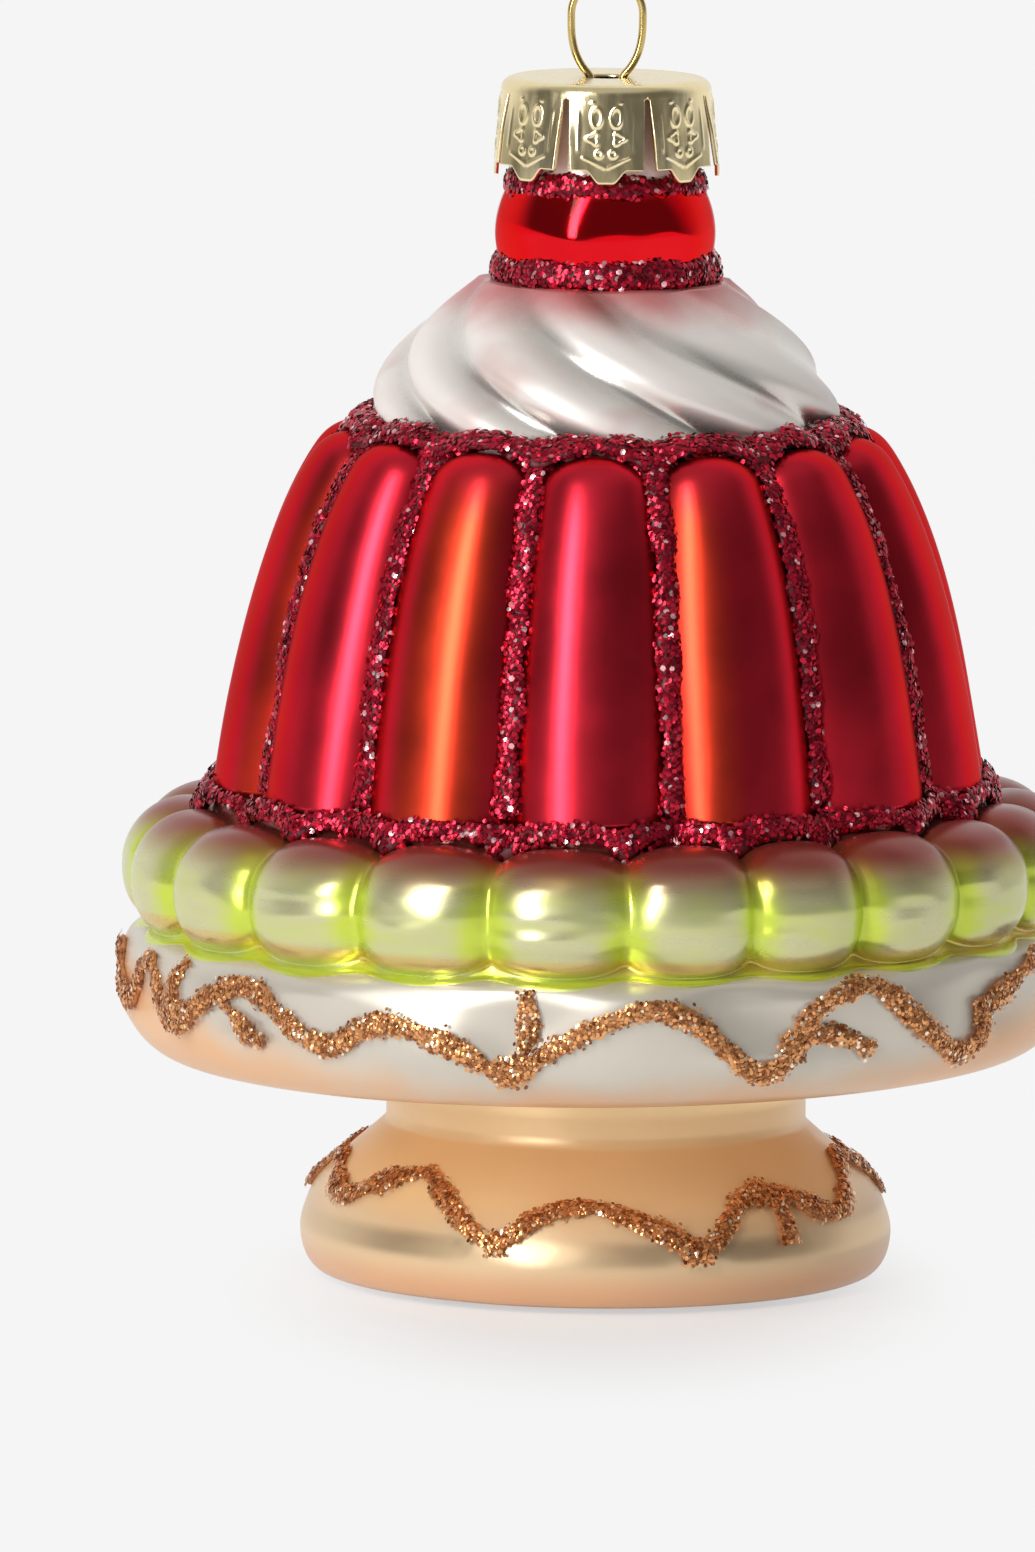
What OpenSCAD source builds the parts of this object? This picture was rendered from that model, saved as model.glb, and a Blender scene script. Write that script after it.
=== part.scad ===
// Glass tree ornament: a moulded jelly pudding on a cake stand.
// One blown glass shell carries five lacquer coats and beads of glitter glue.
// A stamped crown cap and a sprung wire hanger close its neck.
// Millimetres, +Z up, origin on the ground under the middle of the foot.
// Angles run from the front (-Y) towards +X.

/* [Foot and stem] */
// Widest diameter of the foot
foot_d = 47.4; // [42:0.2:54]
// Height of the foot's widest ring above the ground
foot_belly_z = 3.6; // [3:0.1:4.6]
// Diameter of the flat that the foot stands on
foot_flat_d = 39; // [34:0.5:41]
// Height at which the foot runs into the stem
foot_h = 12.4; // [10.5:0.2:15]
// Diameter of the stem
stem_d = 33.6; // [28:0.2:38]
// Height of the stem between the foot and the plate
stem_h = 5.8; // [4.5:0.1:9]
// Diameter of the dimple under the foot
dimple_d = 26; // [18:0.5:30]
// Depth of the dimple under the foot
dimple_depth = 0.8; // [0.5:0.1:1]

/* [Plate] */
// Widest diameter of the plate
plate_d = 76; // [72:0.2:84]
// Height of the plate from its underside to its top
plate_h = 10.4; // [9:0.1:13]
// Radius of the plate's lower edge
plate_edge_r = 4.6; // [3:0.1:6]
// Radius of the plate's upper edge
plate_lip_r = 1.4; // [1:0.1:2]

/* [Berries] */
// Number of berries round the plate
berry_count = 22; // [20:1:24]
// Distance of the berries' centres from the plate's edge
berry_inset = 5; // [4.4:0.1:6]
// Width by which two neighbouring berries run into each other
berry_overlap_w = 1.2; // [1:0.1:1.6]
// Depth by which a berry sinks into the plate
berry_sink_h = 0.6; // [0.3:0.1:0.8]

/* [Jelly] */
// Number of flutes round the jelly
flute_count = 14; // [12:1:16]
// Distance of the flutes' base inside the circle through the berries' centres
jelly_inset = 2; // [1.6:0.1:2.6]
// Height of the jelly
jelly_h = 29.4; // [26:0.2:36]
// Height from the berries' tops to the jelly's base
jelly_base_h = 1.1; // [0.8:0.1:2]
// Depth of the grooves between the flutes
flute_depth = 2.3; // [1.8:0.1:2.6]
// Straight taper of the jelly on its radius
jelly_taper_w = 4.6; // [3.6:0.1:5]
// Rounding of the jelly's shoulder on its radius
jelly_crown_w = 6.4; // [5.4:0.1:6.8]
// Angle of the first groove from the front
groove_angle = 11; // [0:1:25]

/* [Cream] */
// Number of ridges in the cream's swirl
ridge_count = 9; // [8:1:10]
// Width of the ledge round the cream on the jelly's top
cream_inset = 1.1; // [0.9:0.1:1.8]
// Diameter of the cream at its top
cream_top_d = 20.4; // [20:0.2:22]
// Height of the cream
cream_h = 10.8; // [9.4:0.2:13]
// Depth of the furrows between the ridges
ridge_depth = 1.1; // [0.6:0.1:1.4]
// Turn of a ridge from the cream's base to its top
ridge_turn = 70; // [40:1:90]

/* [Cherry and neck] */
// Widest diameter of the cherry
cherry_d = 17.8; // [17.2:0.1:18.6]
// Diameter of the cherry at its two ends
cherry_end_d = 15.8; // [15.4:0.1:16.2]
// Height of the cherry
cherry_h = 7.7; // [6.5:0.1:9]
// Outside diameter of the neck
neck_d = 14.6; // [14.2:0.1:14.8]
// Height of the neck above the cherry
neck_h = 7.9; // [7.6:0.1:8.6]
// Bore of the neck
neck_bore_d = 12.6; // [12.2:0.1:12.8]

/* [Glass and lacquer] */
// Thickness of the blown glass
glass_wall = 1; // [0.8:0.1:1.2]
// Thickness of a lacquer coat
lacquer_t = 0.2; // [0.15:0.05:0.3]

/* [Cap] */
// Outside diameter of the cap at its top edge
cap_d = 16.8; // [16.6:0.1:17.2]
// Outside diameter of the cap at its petals' ends
cap_skirt_d = 18.2; // [18:0.1:19]
// Height of the cap without the petals' tongues
cap_h = 6.7; // [6.2:0.1:7]
// Length of the tongue at the end of a petal
tongue_h = 1.1; // [0.8:0.1:1.3]
// Number of petals
petal_count = 8; // [6:1:10]
// Width of the slit between two petals at its open end
slit_w = 1.1; // [0.8:0.1:1.4]
// Thickness of the cap's sheet metal
cap_t = 0.35; // [0.3:0.05:0.5]
// Diameter of the hole for the hanger
cap_hole_d = 3.8; // [3.6:0.1:4.2]

/* [Hanger] */
// Diameter of the hanger's wire
wire_d = 0.7; // [0.6:0.05:0.8]
// Width of the loop between the middles of its wires
loop_w = 5.7; // [5.5:0.1:7]
// Height of the loop's widest place above the cap
loop_h = 5; // [4.6:0.1:7]
// Spacing of the two wires where they pass the cap
wire_gap = 2.4; // [2.2:0.1:2.5]
// Length of the legs under the cap
leg_l = 10.5; // [8:0.5:13]

/* [Glitter] */
// Width of the red bead along a groove
groove_bead_w = 1.9; // [1.6:0.1:2.2]
// Diameter of the red ring above the cherry
collar_bead_d = 1; // [0.8:0.1:1.1]
// Width of the red band round the cherry's base
cherry_bead_w = 2; // [1.6:0.1:2.4]
// Height of that band off the cherry
cherry_bead_t = 0.6; // [0.4:0.1:0.8]
// Diameter of the red rings round the jelly's top and base
jelly_bead_d = 1.9; // [1.6:0.1:2.2]
// Width of the copper scrolls
scroll_bead_w = 1.7; // [1.4:0.1:2]
// Height of the copper scrolls
scroll_bead_t = 0.8; // [0.6:0.1:1]

/* [Hidden] */
// Room between a coat or a bead and what it lies on
seat_gap = 0.1;
// Running room between the cap and the glass
run_gap = 0.3;
// Depth of the glass's outer and inner faces under the visible surface
glass_out = lacquer_t + seat_gap / 2;
glass_in = glass_out + glass_wall;

// Diameters that follow from the plate: the berries' circle, one berry, the jelly's base, the cream's base
berry_ring_d = plate_d - 2 * berry_inset;
berry_d = berry_ring_d * sin(180 / berry_count) + berry_overlap_w;
jelly_d = berry_ring_d - 2 * jelly_inset;
cream_d = jelly_d - 2 * (jelly_taper_w + jelly_crown_w + cream_inset);

// Places up the ornament
plate_z = foot_h + stem_h;
plate_top = plate_z + plate_h;
berry_z = plate_top + berry_d / 2 - berry_sink_h;
jelly_z = berry_z + berry_d / 2 + jelly_base_h;
jelly_top = jelly_z + jelly_h;
cream_top = jelly_top + cream_h;
cherry_top = cream_top + cherry_h;
neck_top = cherry_top + neck_h;
cap_top = neck_top + run_gap + cap_t;

// Steps round and up each zone of the glass
stand_count = 40;
berry_step_count = 4 * berry_count;
jelly_step_count = 8 * flute_count;
cream_step_count = 6 * ridge_count;
hollow_count = 20;
berry_row_count = 4;
jelly_row_count = 6;
cream_row_count = 5;
cherry_row_count = 4;

// Shape of the curves
foot_curve = [1.8, 1.15];
cream_curve = [1.9, 1.1];
crown_curve = [2.8, 0.6];
loop_curve = [3, 0.9];
flute_round_ratio = 0.92;
arch_h = 3;
stem_fillet_r = 1.5;
lacquer_edge_angle = -60;
berry_low_angle = -62;
berry_high_angle = 100;
neck_root_h = 0.8;
$fn = 64;

// Turning points of the copper scrolls: angle from the front, share of the height of the rim or the foot
plate_wave = [
    [-71, 0.78], [-61, 0.44], [-49, 0.78], [-34, 0.44], [-27, 0.7], [-10, 0.34], [6, 0.78], [19, 0.34],
    [34, 0.78], [48, 0.34], [66, 0.78], [80, 0.38], [95, 0.78], [109, 0.36], [124, 0.75], [139, 0.34],
    [154, 0.78], [168, 0.4], [183, 0.76], [197, 0.35], [212, 0.78], [226, 0.38], [240, 0.76], [254, 0.36],
    [272, 0.72], [280, 0.5]
];
foot_wave = [
    [-82, 0.75], [-64, 0.42], [-42, 0.78], [-20, 0.23], [0, 0.6], [21, 0.14], [38, 0.67], [61, 0.37],
    [86, 0.78], [108, 0.3], [130, 0.7], [152, 0.2], [174, 0.66], [196, 0.25], [218, 0.72], [240, 0.3],
    [258, 0.64], [268, 0.5]
];

FLUTES = [1 : flute_count];

function flute_name(i) = str("groove_glitter_", i);

// A point at radius r, at angle a from the front, at height z
function polar(r, a, z) = [r * sin(a), -r * cos(a), z];

// Points along an arc about c, from angle a0 to a1, in n steps
function arc(c, r, a0, a1, n) =
    [for (k = [0 : n]) let (a = a0 + (a1 - a0) * k / n) c + r * [cos(a), sin(a)]];

function reverse(list) = [for (i = [len(list) - 1 : -1 : 0]) list[i]];
function unit(v) = v / norm(v);
function mix(p, q, s) = p + (q - p) * s;

// A list of [r, z] points, run from low to high, moved by d to its inner side
function inset(pts, d) = [
    for (i = [0 : len(pts) - 1])
        let (along = unit(pts[min(i + 1, len(pts) - 1)] - pts[max(i - 1, 0)]))
        pts[i] + d * [-along[1], along[0]]
];

// Falls from 1 to 0 as s goes from 0 to 1, with a round shoulder
function shoulder(s, curve) = pow(1 - pow(s, curve[0]), curve[1]);

// A point of the foot's upper side at share s of the way from its belly to the stem
function foot_point(s) = [
    mix(stem_d, foot_d, shoulder(s, foot_curve)) / 2,
    foot_belly_z + (foot_h - foot_belly_z) * s
];

// Outline of the foot, from the lacquer's lower edge to the stem
function foot_outline() = let (flat_r = foot_flat_d / 2) concat(
    [for (a = [lacquer_edge_angle : 20 : -20])
        [flat_r + (foot_d / 2 - flat_r) * cos(a), foot_belly_z * (1 + sin(a))]],
    [for (s = [0 : 0.2 : 1]) foot_point(s)]
);

// Outline of the plate, from the top of the stem to the plate's top
function plate_outline() = let (r = plate_d / 2) concat(
    arc([stem_d / 2 + stem_fillet_r, plate_z - stem_fillet_r], stem_fillet_r, 180, 90, 2),
    arc([r - plate_edge_r, plate_z + plate_edge_r], plate_edge_r, -90, 0, 4),
    arc([r - plate_lip_r, plate_top - plate_lip_r], plate_lip_r, 0, 90, 2)
);

function stand_outline() = concat(foot_outline(), plate_outline());

// A point of the plate's rim at height z, and the direction that its surface faces
function rim_tilt(z) = asin(max(min((z - plate_z) / plate_edge_r - 1, 0), -1));
function rim_point(z) = [plate_d / 2 - plate_edge_r * (1 - cos(rim_tilt(z))), z];

// Radius of the cherry at height z
function cherry_r(z) =
    cherry_end_d / 2 + (cherry_d - cherry_end_d) / 2 * sqrt(max(sin(180 * (z - cream_top) / cherry_h), 0));

// Outline of the cherry, from its base to its top
function cherry_outline() = [
    for (k = [0 : cherry_row_count]) let (z = cream_top + cherry_h * k / cherry_row_count) [cherry_r(z), z]
];

// Depth across a flute at angle a: 0 on its crest, 1 in a groove
function sunk(a) = let (
    turn = (a - groove_angle) * flute_count / 360,
    across = 2 * (turn - floor(turn)) - 1,
    low = sqrt(1 - pow(flute_round_ratio, 2))
) 1 - (sqrt(1 - pow(flute_round_ratio * across, 2)) - low) / (1 - low);

// Share of the jelly's height at row k: the rows crowd together towards the round shoulder
function jelly_share(k) = sin(90 * k / jelly_row_count);

// A point of the jelly at share h of its height, where the flutes are sunk by d
function jelly_point(h, d) = [
    jelly_d / 2 - jelly_taper_w * h - jelly_crown_w * (1 - shoulder(h, crown_curve))
        - flute_depth * d * (1 - h / 4),
    jelly_z + jelly_h * h - arch_h * d * h * h
];
function jelly_outline(d) = [for (k = [0 : jelly_row_count]) jelly_point(jelly_share(k), d)];

// A point of the cream at share h of its height, where the swirl is sunk by d
function cream_point(h, d) = [
    mix(cream_top_d, cream_d, shoulder(h, cream_curve)) / 2 - ridge_depth * d * (1 - 0.7 * h),
    jelly_top + cream_h * h
];
function furrow(a, h) = (1 - cos((a - groove_angle + ridge_turn * h) * ridge_count)) / 2;
function cream_outline(a) = [
    for (k = [0 : cream_row_count]) let (h = k / cream_row_count) cream_point(h, furrow(a, h))
];

// Meridian of the berry ring at angle a from a berry's middle, on berries made smaller by d
function berry_outline(a, d) = let (
    ring_r = berry_ring_d / 2,
    slice_r = sqrt(pow(berry_d / 2 - d, 2) - pow(ring_r * sin(a), 2))
) arc([ring_r * cos(a), berry_z], slice_r, berry_low_angle, berry_high_angle, berry_row_count);
function berry_angle(a) = let (turn = (a - groove_angle) * berry_count / 360)
    (turn - round(turn)) * 360 / berry_count;

// Rings of points about the axis: from one outline, or from one outline for each angle
function angles(steps) = [for (k = [0 : steps - 1]) groove_angle + 360 * k / steps];
function plain_rings(outline, steps) = [
    for (p = outline) [for (a = angles(steps)) polar(p[0], a, p[1])]
];
function turned_rings(turn, outlines) = [
    for (row = [0 : len(outlines[0]) - 1])
        [for (i = [0 : len(turn) - 1]) polar(outlines[i][row][0], turn[i], outlines[i][row][1])]
];
function jelly_rings(d) = let (turn = angles(jelly_step_count))
    turned_rings(turn, [for (a = turn) inset(jelly_outline(sunk(a)), d)]);
function cream_rings(d) = let (turn = angles(cream_step_count))
    turned_rings(turn, [for (a = turn) inset(cream_outline(a), d)]);
function berry_rings(d) = let (turn = angles(berry_step_count))
    turned_rings(turn, [for (a = turn) berry_outline(berry_angle(a), d)]);

// Triangles between two rings that start at the same angle and may differ in count.
// Each edge is joined to the point that the other ring has reached at the edge's middle.
// Where two middles fall together the lower ring goes first, so two skins over the same rings are parallel.
function reached(i, n, m, first) = let (x = (i + 0.5) * m / n - 0.5) (first ? floor(x) + 1 : ceil(x)) % m;
function zip(a, na, b, nb, a_first) = concat(
    [for (i = [0 : na - 1]) [a + i, b + reached(i, na, nb, !a_first), a + (i + 1) % na]],
    [for (j = [0 : nb - 1]) [a + reached(j, nb, na, a_first), b + j, b + (j + 1) % nb]]
);

// A closed skin over a stack of rings, capped at both ends or joined last to first
module skin(rings, joined = false) {
    count = len(rings);
    last = count - 1;
    starts = [for (i = 0, s = 0; i < count; s = s + len(rings[i]), i = i + 1) s];
    bands = [
        for (i = [0 : joined ? last : last - 1]) let (n = (i + 1) % count)
            zip(starts[i], len(rings[i]), starts[n], len(rings[n]), rings[i][0][2] < rings[n][0][2])
    ];
    caps = joined ? [] : [
        [for (k = [0 : len(rings[0]) - 1]) k],
        [for (k = [len(rings[last]) - 1 : -1 : 0]) starts[last] + k]
    ];
    polyhedron([for (r = rings) each r], concat([for (b = bands) each b], caps));
}

// Outline of the hollow in the glass, from the neck's root down to the foot
function hollow_outline() = let (
    waist_r = cherry_end_d / 2 - glass_in,
    stem_r = stem_d / 2 - glass_in,
    plate_r = plate_d / 2 - glass_in,
    notch = berry_outline(180 / berry_count, glass_out)
) concat(
    [for (z = [cherry_top - neck_root_h / 2, (cherry_top + cream_top) / 2]) [cherry_r(z) - glass_in, z]],
    [[waist_r, cream_top - glass_in / 2]],
    reverse(inset([for (h = [0 : 0.28 : 0.84]) cream_point(h, 1)], glass_in)),
    reverse(inset([for (h = [0 : 0.25 : 1]) jelly_point(h, 1)], glass_in)),
    [
        [notch[berry_row_count / 2][0] - 2.2 * glass_wall, berry_z],
        [plate_r, plate_top - glass_in],
        [plate_r, plate_z + plate_edge_r],
        [plate_r + glass_in - plate_edge_r, plate_z + glass_in],
        [stem_r, plate_z + glass_in]
    ],
    reverse(inset(concat([for (a = [lacquer_edge_angle, -30])
        [foot_flat_d / 2 + (foot_d - foot_flat_d) / 2 * cos(a), foot_belly_z * (1 + sin(a))]],
        [for (s = [0 : 0.25 : 1]) foot_point(s)]), glass_in)),
    [[foot_flat_d / 2 - glass_in, dimple_depth + glass_in]]
);

// Blown glass shell, silvered inside, with a round neck and a dimple under the foot
module glass_body() color("gainsboro") difference() {
    cream_r = (cream_d - ridge_depth) / 2;
    union() {
        skin(concat(
            plain_rings(concat([[foot_flat_d / 2, 0]], inset(stand_outline(), glass_out)), stand_count),
            berry_rings(glass_out),
            jelly_rings(glass_out),
            plain_rings([[cream_r - glass_out, jelly_top - 3 * seat_gap]], stand_count),
            cream_rings(glass_out),
            plain_rings([[cherry_end_d / 2 - glass_out, cream_top - seat_gap]], stand_count),
            plain_rings(inset(cherry_outline(), glass_out), stand_count),
            plain_rings(hollow_outline(), hollow_count)
        ));
        rotate_extrude()
            translate([neck_bore_d / 2, cherry_top - neck_root_h])
                square([(neck_d - neck_bore_d) / 2, neck_h + neck_root_h]);
    }
    dimple_r = (pow(dimple_d / 2, 2) / dimple_depth + dimple_depth) / 2;
    translate([0, 0, dimple_depth - dimple_r]) sphere(dimple_r);
}

// A coat as thick as the lacquer over an outline turned about the axis
module turned_coat(outline) rotate_extrude() polygon(concat(outline, reverse(inset(outline, lacquer_t))));

module stand_lacquer() color("navajowhite") turned_coat(stand_outline());

module berries(r) for (k = [1 : berry_count])
    translate(polar(berry_ring_d / 2, groove_angle + 360 * k / berry_count, berry_z)) sphere(r);

module berry_lacquer() color("yellowgreen") intersection() {
    difference() {
        berries(berry_d / 2);
        berries(berry_d / 2 - lacquer_t);
    }
    notch = berry_outline(180 / berry_count, glass_out);
    outside = plate_d / 2 + berry_d;
    over = berry_z + berry_d;
    rotate_extrude() polygon([
        [outside, plate_top + seat_gap],
        [plate_d / 2 - plate_lip_r + 2 * seat_gap, plate_top + seat_gap],
        notch[0] + [3, 3] * seat_gap,
        notch[berry_row_count] + [3, 1] * seat_gap,
        [berry_ring_d / 2 - 3 * seat_gap, over],
        [outside, over]
    ]);
}

module jelly_lacquer() color("crimson")
    skin(concat(jelly_rings(0), reverse(jelly_rings(lacquer_t))), true);

module cream_lacquer() color("whitesmoke")
    skin(concat(cream_rings(0), reverse(cream_rings(lacquer_t))), true);

module cherry_lacquer() color("firebrick") turned_coat(cherry_outline());

// Round bead of glitter glue in the corner between the cherry and the neck
module collar_glitter() color("darkred") rotate_extrude()
    translate([neck_d / 2, cherry_top] + [1, 1] * (collar_bead_d / 2 + seat_gap)) circle(d = collar_bead_d);

// Flat bead of glitter glue round the cherry's base
module cherry_glitter() color("darkred") {
    low = cream_top + 2 * seat_gap;
    rows = [for (k = [0 : 6]) low + cherry_bead_w * k / 6];
    back_r = cherry_r(rows[6]) + seat_gap;
    rotate_extrude() polygon(concat(
        [for (z = rows) [cherry_r(z) + seat_gap, z]],
        [for (k = [5 : -1 : 0]) [back_r + cherry_bead_t * sin(30 * k), rows[k]]]
    ));
}

// A wavy bead round the jelly: its path follows the flutes
module wavy_bead(path) color("darkred") skin([
    for (a = angles(4 * flute_count)) let (p = path(sunk(a)), r = jelly_bead_d / 2)
        [for (t = [288 : -72 : 0]) polar(p[0] + r * cos(t), a, p[1] + r * sin(t))]
], true);

module cream_glitter() wavy_bead(function(d) [
    cream_d / 2 + jelly_bead_d / 2 + 5 * seat_gap,
    jelly_point(1, d)[1] + jelly_bead_d / 2 + 2 * seat_gap
]);

module jelly_glitter() wavy_bead(function(d) [
    jelly_d / 2 + jelly_bead_d / 2 + 2 * seat_gap - flute_depth * d / 2,
    berry_z + berry_d / 2 + jelly_bead_d / 2 + 3 * seat_gap
]);

// Section of the bead in groove i at the row k of the jelly, laid against both flutes
function groove_section(i, k) = let (
    a = groove_angle + 360 * i / flute_count,
    da = 360 / jelly_step_count,
    bed = jelly_point(jelly_share(k), 1),
    bank = jelly_point(jelly_share(k), sunk(a + da)),
    share = groove_bead_w / 2 / (bank[0] * sin(da)),
    gap = 2 * seat_gap,
    floor = polar(bed[0] + gap, a, bed[1]),
    left = mix(floor, polar(bank[0] + gap, a - da, bank[1]), share),
    right = mix(floor, polar(bank[0] + gap, a + da, bank[1]), share),
    top = polar(0.45 * groove_bead_w, a, 0)
) [floor, left, mix(floor, left, 0.6) + top, mix(floor, right, 0.6) + top, right];

// A section drawn in towards its middle, for a bead's rounded end
function drawn_in(section) = let (middle = (section[0] + section[2] + section[3]) / 3)
    [for (p = section) mix(middle, p, 0.2)];

module groove_glitter(i) color("darkred") let (
    sections = [for (k = [0 : jelly_row_count]) groove_section(i, k)],
    last = jelly_row_count - 1
) skin(concat(
    [drawn_in(mix(sections[0], sections[1], 0.22)), mix(sections[0], sections[1], 0.3)],
    [for (k = [1 : last]) sections[k]],
    [mix(sections[last], sections[last + 1], 0.5), drawn_in(mix(sections[last], sections[last + 1], 0.6))]
));

// Height share of a scroll at angle a, easing from one turning point to the next
function wave_at(wave, a) = let (
    turns = concat(wave, [wave[0] + [360, 0]]),
    i = max([for (k = [0 : len(wave) - 1]) if (turns[k][0] <= a) k]),
    s = (a - turns[i][0]) / (turns[i + 1][0] - turns[i][0])
) mix(turns[i][1], turns[i + 1][1], (1 - cos(180 * s)) / 2);

// A flat-backed bead along a scroll: point gives [r, z] at a height share, tilt what the surface faces
module scroll(wave, steps, point, tilt) {
    line = [for (k = [0 : steps - 1]) let (a = wave[0][0] + 360 * k / steps) [a, wave_at(wave, a)]];
    spots = [for (l = line) let (p = point(l[1])) polar(p[0], l[0], p[1])];
    skin([
        for (k = [0 : steps - 1]) let (
            along = unit(spots[(k + 1) % steps] - spots[(k + steps - 1) % steps]),
            t = tilt(line[k][1]),
            up = polar(cos(t), line[k][0], sin(t)),
            side = unit(cross(along, up)),
            w = scroll_bead_w / 2
        ) [for (q = [[-w, 0], [0, scroll_bead_t], [w, 0]]) spots[k] + side * q[0] + up * (seat_gap + q[1])]
    ], true);
}

module plate_scroll() color("peru") let (z = function(s) plate_z + plate_h * s)
    scroll(plate_wave, 120, function(s) rim_point(z(s)), function(s) rim_tilt(z(s)));

module foot_scroll() color("peru")
    scroll(foot_wave, 80, function(s) foot_point(s), function(s)
        let (along = foot_point(s + 0.01) - foot_point(s - 0.01)) atan2(-along[0], along[1]));

// Stamped crown cap with slit petals that end in tongues
module cap() color("gold") difference() {
    skirt_z = cap_top - cap_h;
    tip_z = skirt_z - tongue_h;
    flare = (cap_skirt_d - cap_d) / 2 / (cap_h + tongue_h);
    edge_r = 3 * cap_t;
    slit_h = cap_top - edge_r - tip_z + 1;
    rotate_extrude() difference() {
        union() {
            polygon([
                [0, tip_z], [cap_skirt_d / 2, tip_z], [cap_d / 2 + flare * edge_r, cap_top - edge_r],
                [cap_d / 2 - edge_r, cap_top], [0, cap_top]
            ]);
            translate([cap_d / 2 - edge_r, cap_top - edge_r]) circle(edge_r);
        }
        polygon([
            [0, tip_z - 1], [cap_skirt_d / 2 - cap_t + flare, tip_z - 1],
            [cap_d / 2 + flare * edge_r - cap_t, cap_top - edge_r], [cap_d / 2 - edge_r, cap_top - cap_t],
            [0, cap_top - cap_t]
        ]);
    }
    translate([0, 0, cap_top - 2 * cap_t]) cylinder(d = cap_hole_d, h = 3 * cap_t);
    for (k = [1 : petal_count]) rotate(360 * (k + 0.5) / petal_count) {
        translate([0, 0, tip_z - 1]) rotate([90, 0, 0]) linear_extrude(cap_d)
            polygon([[-slit_w / 2, 0], [slit_w / 2, 0], [slit_w / 4, slit_h], [-slit_w / 4, slit_h]]);
        translate([0, 0, skirt_z - cap_h / 2]) rotate([90, 0, 0]) cylinder(d = cap_h, h = cap_d);
    }
}

// Path of the wire's right half in [x, z], from the top of the loop to the end of the leg
function wire_path() = let (
    half = loop_w / 2,
    pass = wire_gap / 2,
    reach = neck_bore_d / 2 - run_gap - wire_d / 2,
    widest = cap_top + loop_h
) concat(
    arc([0, widest], half, 90, 0, 6),
    [for (s = [0.25, 0.45, 0.62, 0.78, 0.9, 1])
        [mix(pass, half, shoulder(s, loop_curve)), widest - loop_h * s]],
    [for (s = [0.1, 0.3, 0.5, 0.75, 1]) [mix(pass, reach, 1 - cos(90 * s)), cap_top - 0.8 * leg_l * s]],
    [[reach - 0.1 * leg_l, cap_top - leg_l]]
);

module hanger_wire() color("goldenrod") {
    right = wire_path();
    path = concat(reverse(right), [for (i = [1 : len(right) - 1]) [-right[i][0], right[i][1]]]);
    last = len(path) - 1;
    skin([
        for (i = [0 : last]) let (along = unit(path[min(i + 1, last)] - path[max(i - 1, 0)]))
            [for (t = [0 : 45 : 315]) let (out = wire_d / 2 * cos(t))
                [path[i][0] + out * along[1], wire_d / 2 * sin(t), path[i][1] - out * along[0]]]
    ]);
}

glass_body();
stand_lacquer();
berry_lacquer();
jelly_lacquer();
cream_lacquer();
cherry_lacquer();
collar_glitter();
cherry_glitter();
cream_glitter();
jelly_glitter();
plate_scroll();
foot_scroll();
cap();
hanger_wire();
for (i = FLUTES) groove_glitter(i);
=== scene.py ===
"""Glass tree ornament dressed for its picture: a moulded jelly pudding on a cake stand.

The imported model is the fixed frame. Shapes are worked out in millimetres and put into Blender in
metres. Angles are in degrees from the front (-Y) towards +X.
"""
import functools
import math

import bmesh
import bpy
import numpy as np
from mathutils import Matrix, Vector


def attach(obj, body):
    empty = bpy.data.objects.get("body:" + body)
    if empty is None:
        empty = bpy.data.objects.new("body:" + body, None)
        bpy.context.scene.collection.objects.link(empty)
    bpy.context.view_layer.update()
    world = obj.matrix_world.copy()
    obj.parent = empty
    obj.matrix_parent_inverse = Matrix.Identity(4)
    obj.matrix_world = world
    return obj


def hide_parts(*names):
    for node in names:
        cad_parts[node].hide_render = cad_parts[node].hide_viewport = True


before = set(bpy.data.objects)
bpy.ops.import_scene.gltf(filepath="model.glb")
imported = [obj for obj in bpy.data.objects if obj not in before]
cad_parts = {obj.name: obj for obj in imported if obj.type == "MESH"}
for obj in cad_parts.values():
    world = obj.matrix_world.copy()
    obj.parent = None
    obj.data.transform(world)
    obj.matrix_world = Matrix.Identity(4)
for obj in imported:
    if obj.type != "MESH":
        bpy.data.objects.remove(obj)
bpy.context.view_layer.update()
scene = bpy.context.scene
MM = 0.001

# Camera: a long lens in front of the ornament and a little above it
CAMERA_DISTANCE = 1400.0  # mm from the aim
CAMERA_RISE = 7.6  # degrees above the horizon
CAMERA_ROLL = 0.55  # degrees, so that the ornament leans to the right
PICTURE_HEIGHT = 124.2  # mm from top to bottom of the picture at the aim
CAMERA_AIM = (-6.55, 0.0, 39.9)

# Sizes of the part's source in millimetres and degrees, a few of them trimmed to the photo
FOOT_R, FOOT_BELLY_Z, FOOT_FLAT_R, FOOT_H = 23.7, 3.6, 19.5, 12.4
STEM_R, STEM_FILLET_R, DIMPLE_R, DIMPLE_DEPTH = 16.8, 1.5, 13.0, 0.8
PLATE_R, PLATE_Z, PLATE_TOP, PLATE_EDGE_R, PLATE_LIP_R = 37.7, 18.2, 28.6, 4.6, 2.0
BERRY_RING_R, BERRY_R, BERRY_Z, BERRY_NOTCH_R = 33.0, 5.3, 33.3, 3.1
FLUTES, GROOVE_ANGLE, FLUTE_DEPTH = 14, 11.0, 3.0
JELLY_R, JELLY_Z, JELLY_H, JELLY_TAPER, JELLY_CROWN = 31.25, 39.7, 29.4, 4.6, 6.4
FLUTE_END, FLUTE_STOP, ARCH_H = 3.6, 1.0, 1.2
HIGHLIGHT_ANGLE, HIGHLIGHT_CORE, HIGHLIGHT_FADE = -17.0, 14.0, 26.0  # facing where the highlight falls, and its opposite: the scarlet is laid there as painted highlight
JELLY_TOP = JELLY_Z + JELLY_H
RIDGES, RIDGE_DEPTH, RIDGE_TURN = 9, 1.35, 74.0
CREAM_R, CREAM_TOP_R, CREAM_H = 18.9, 10.2, 10.8
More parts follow.
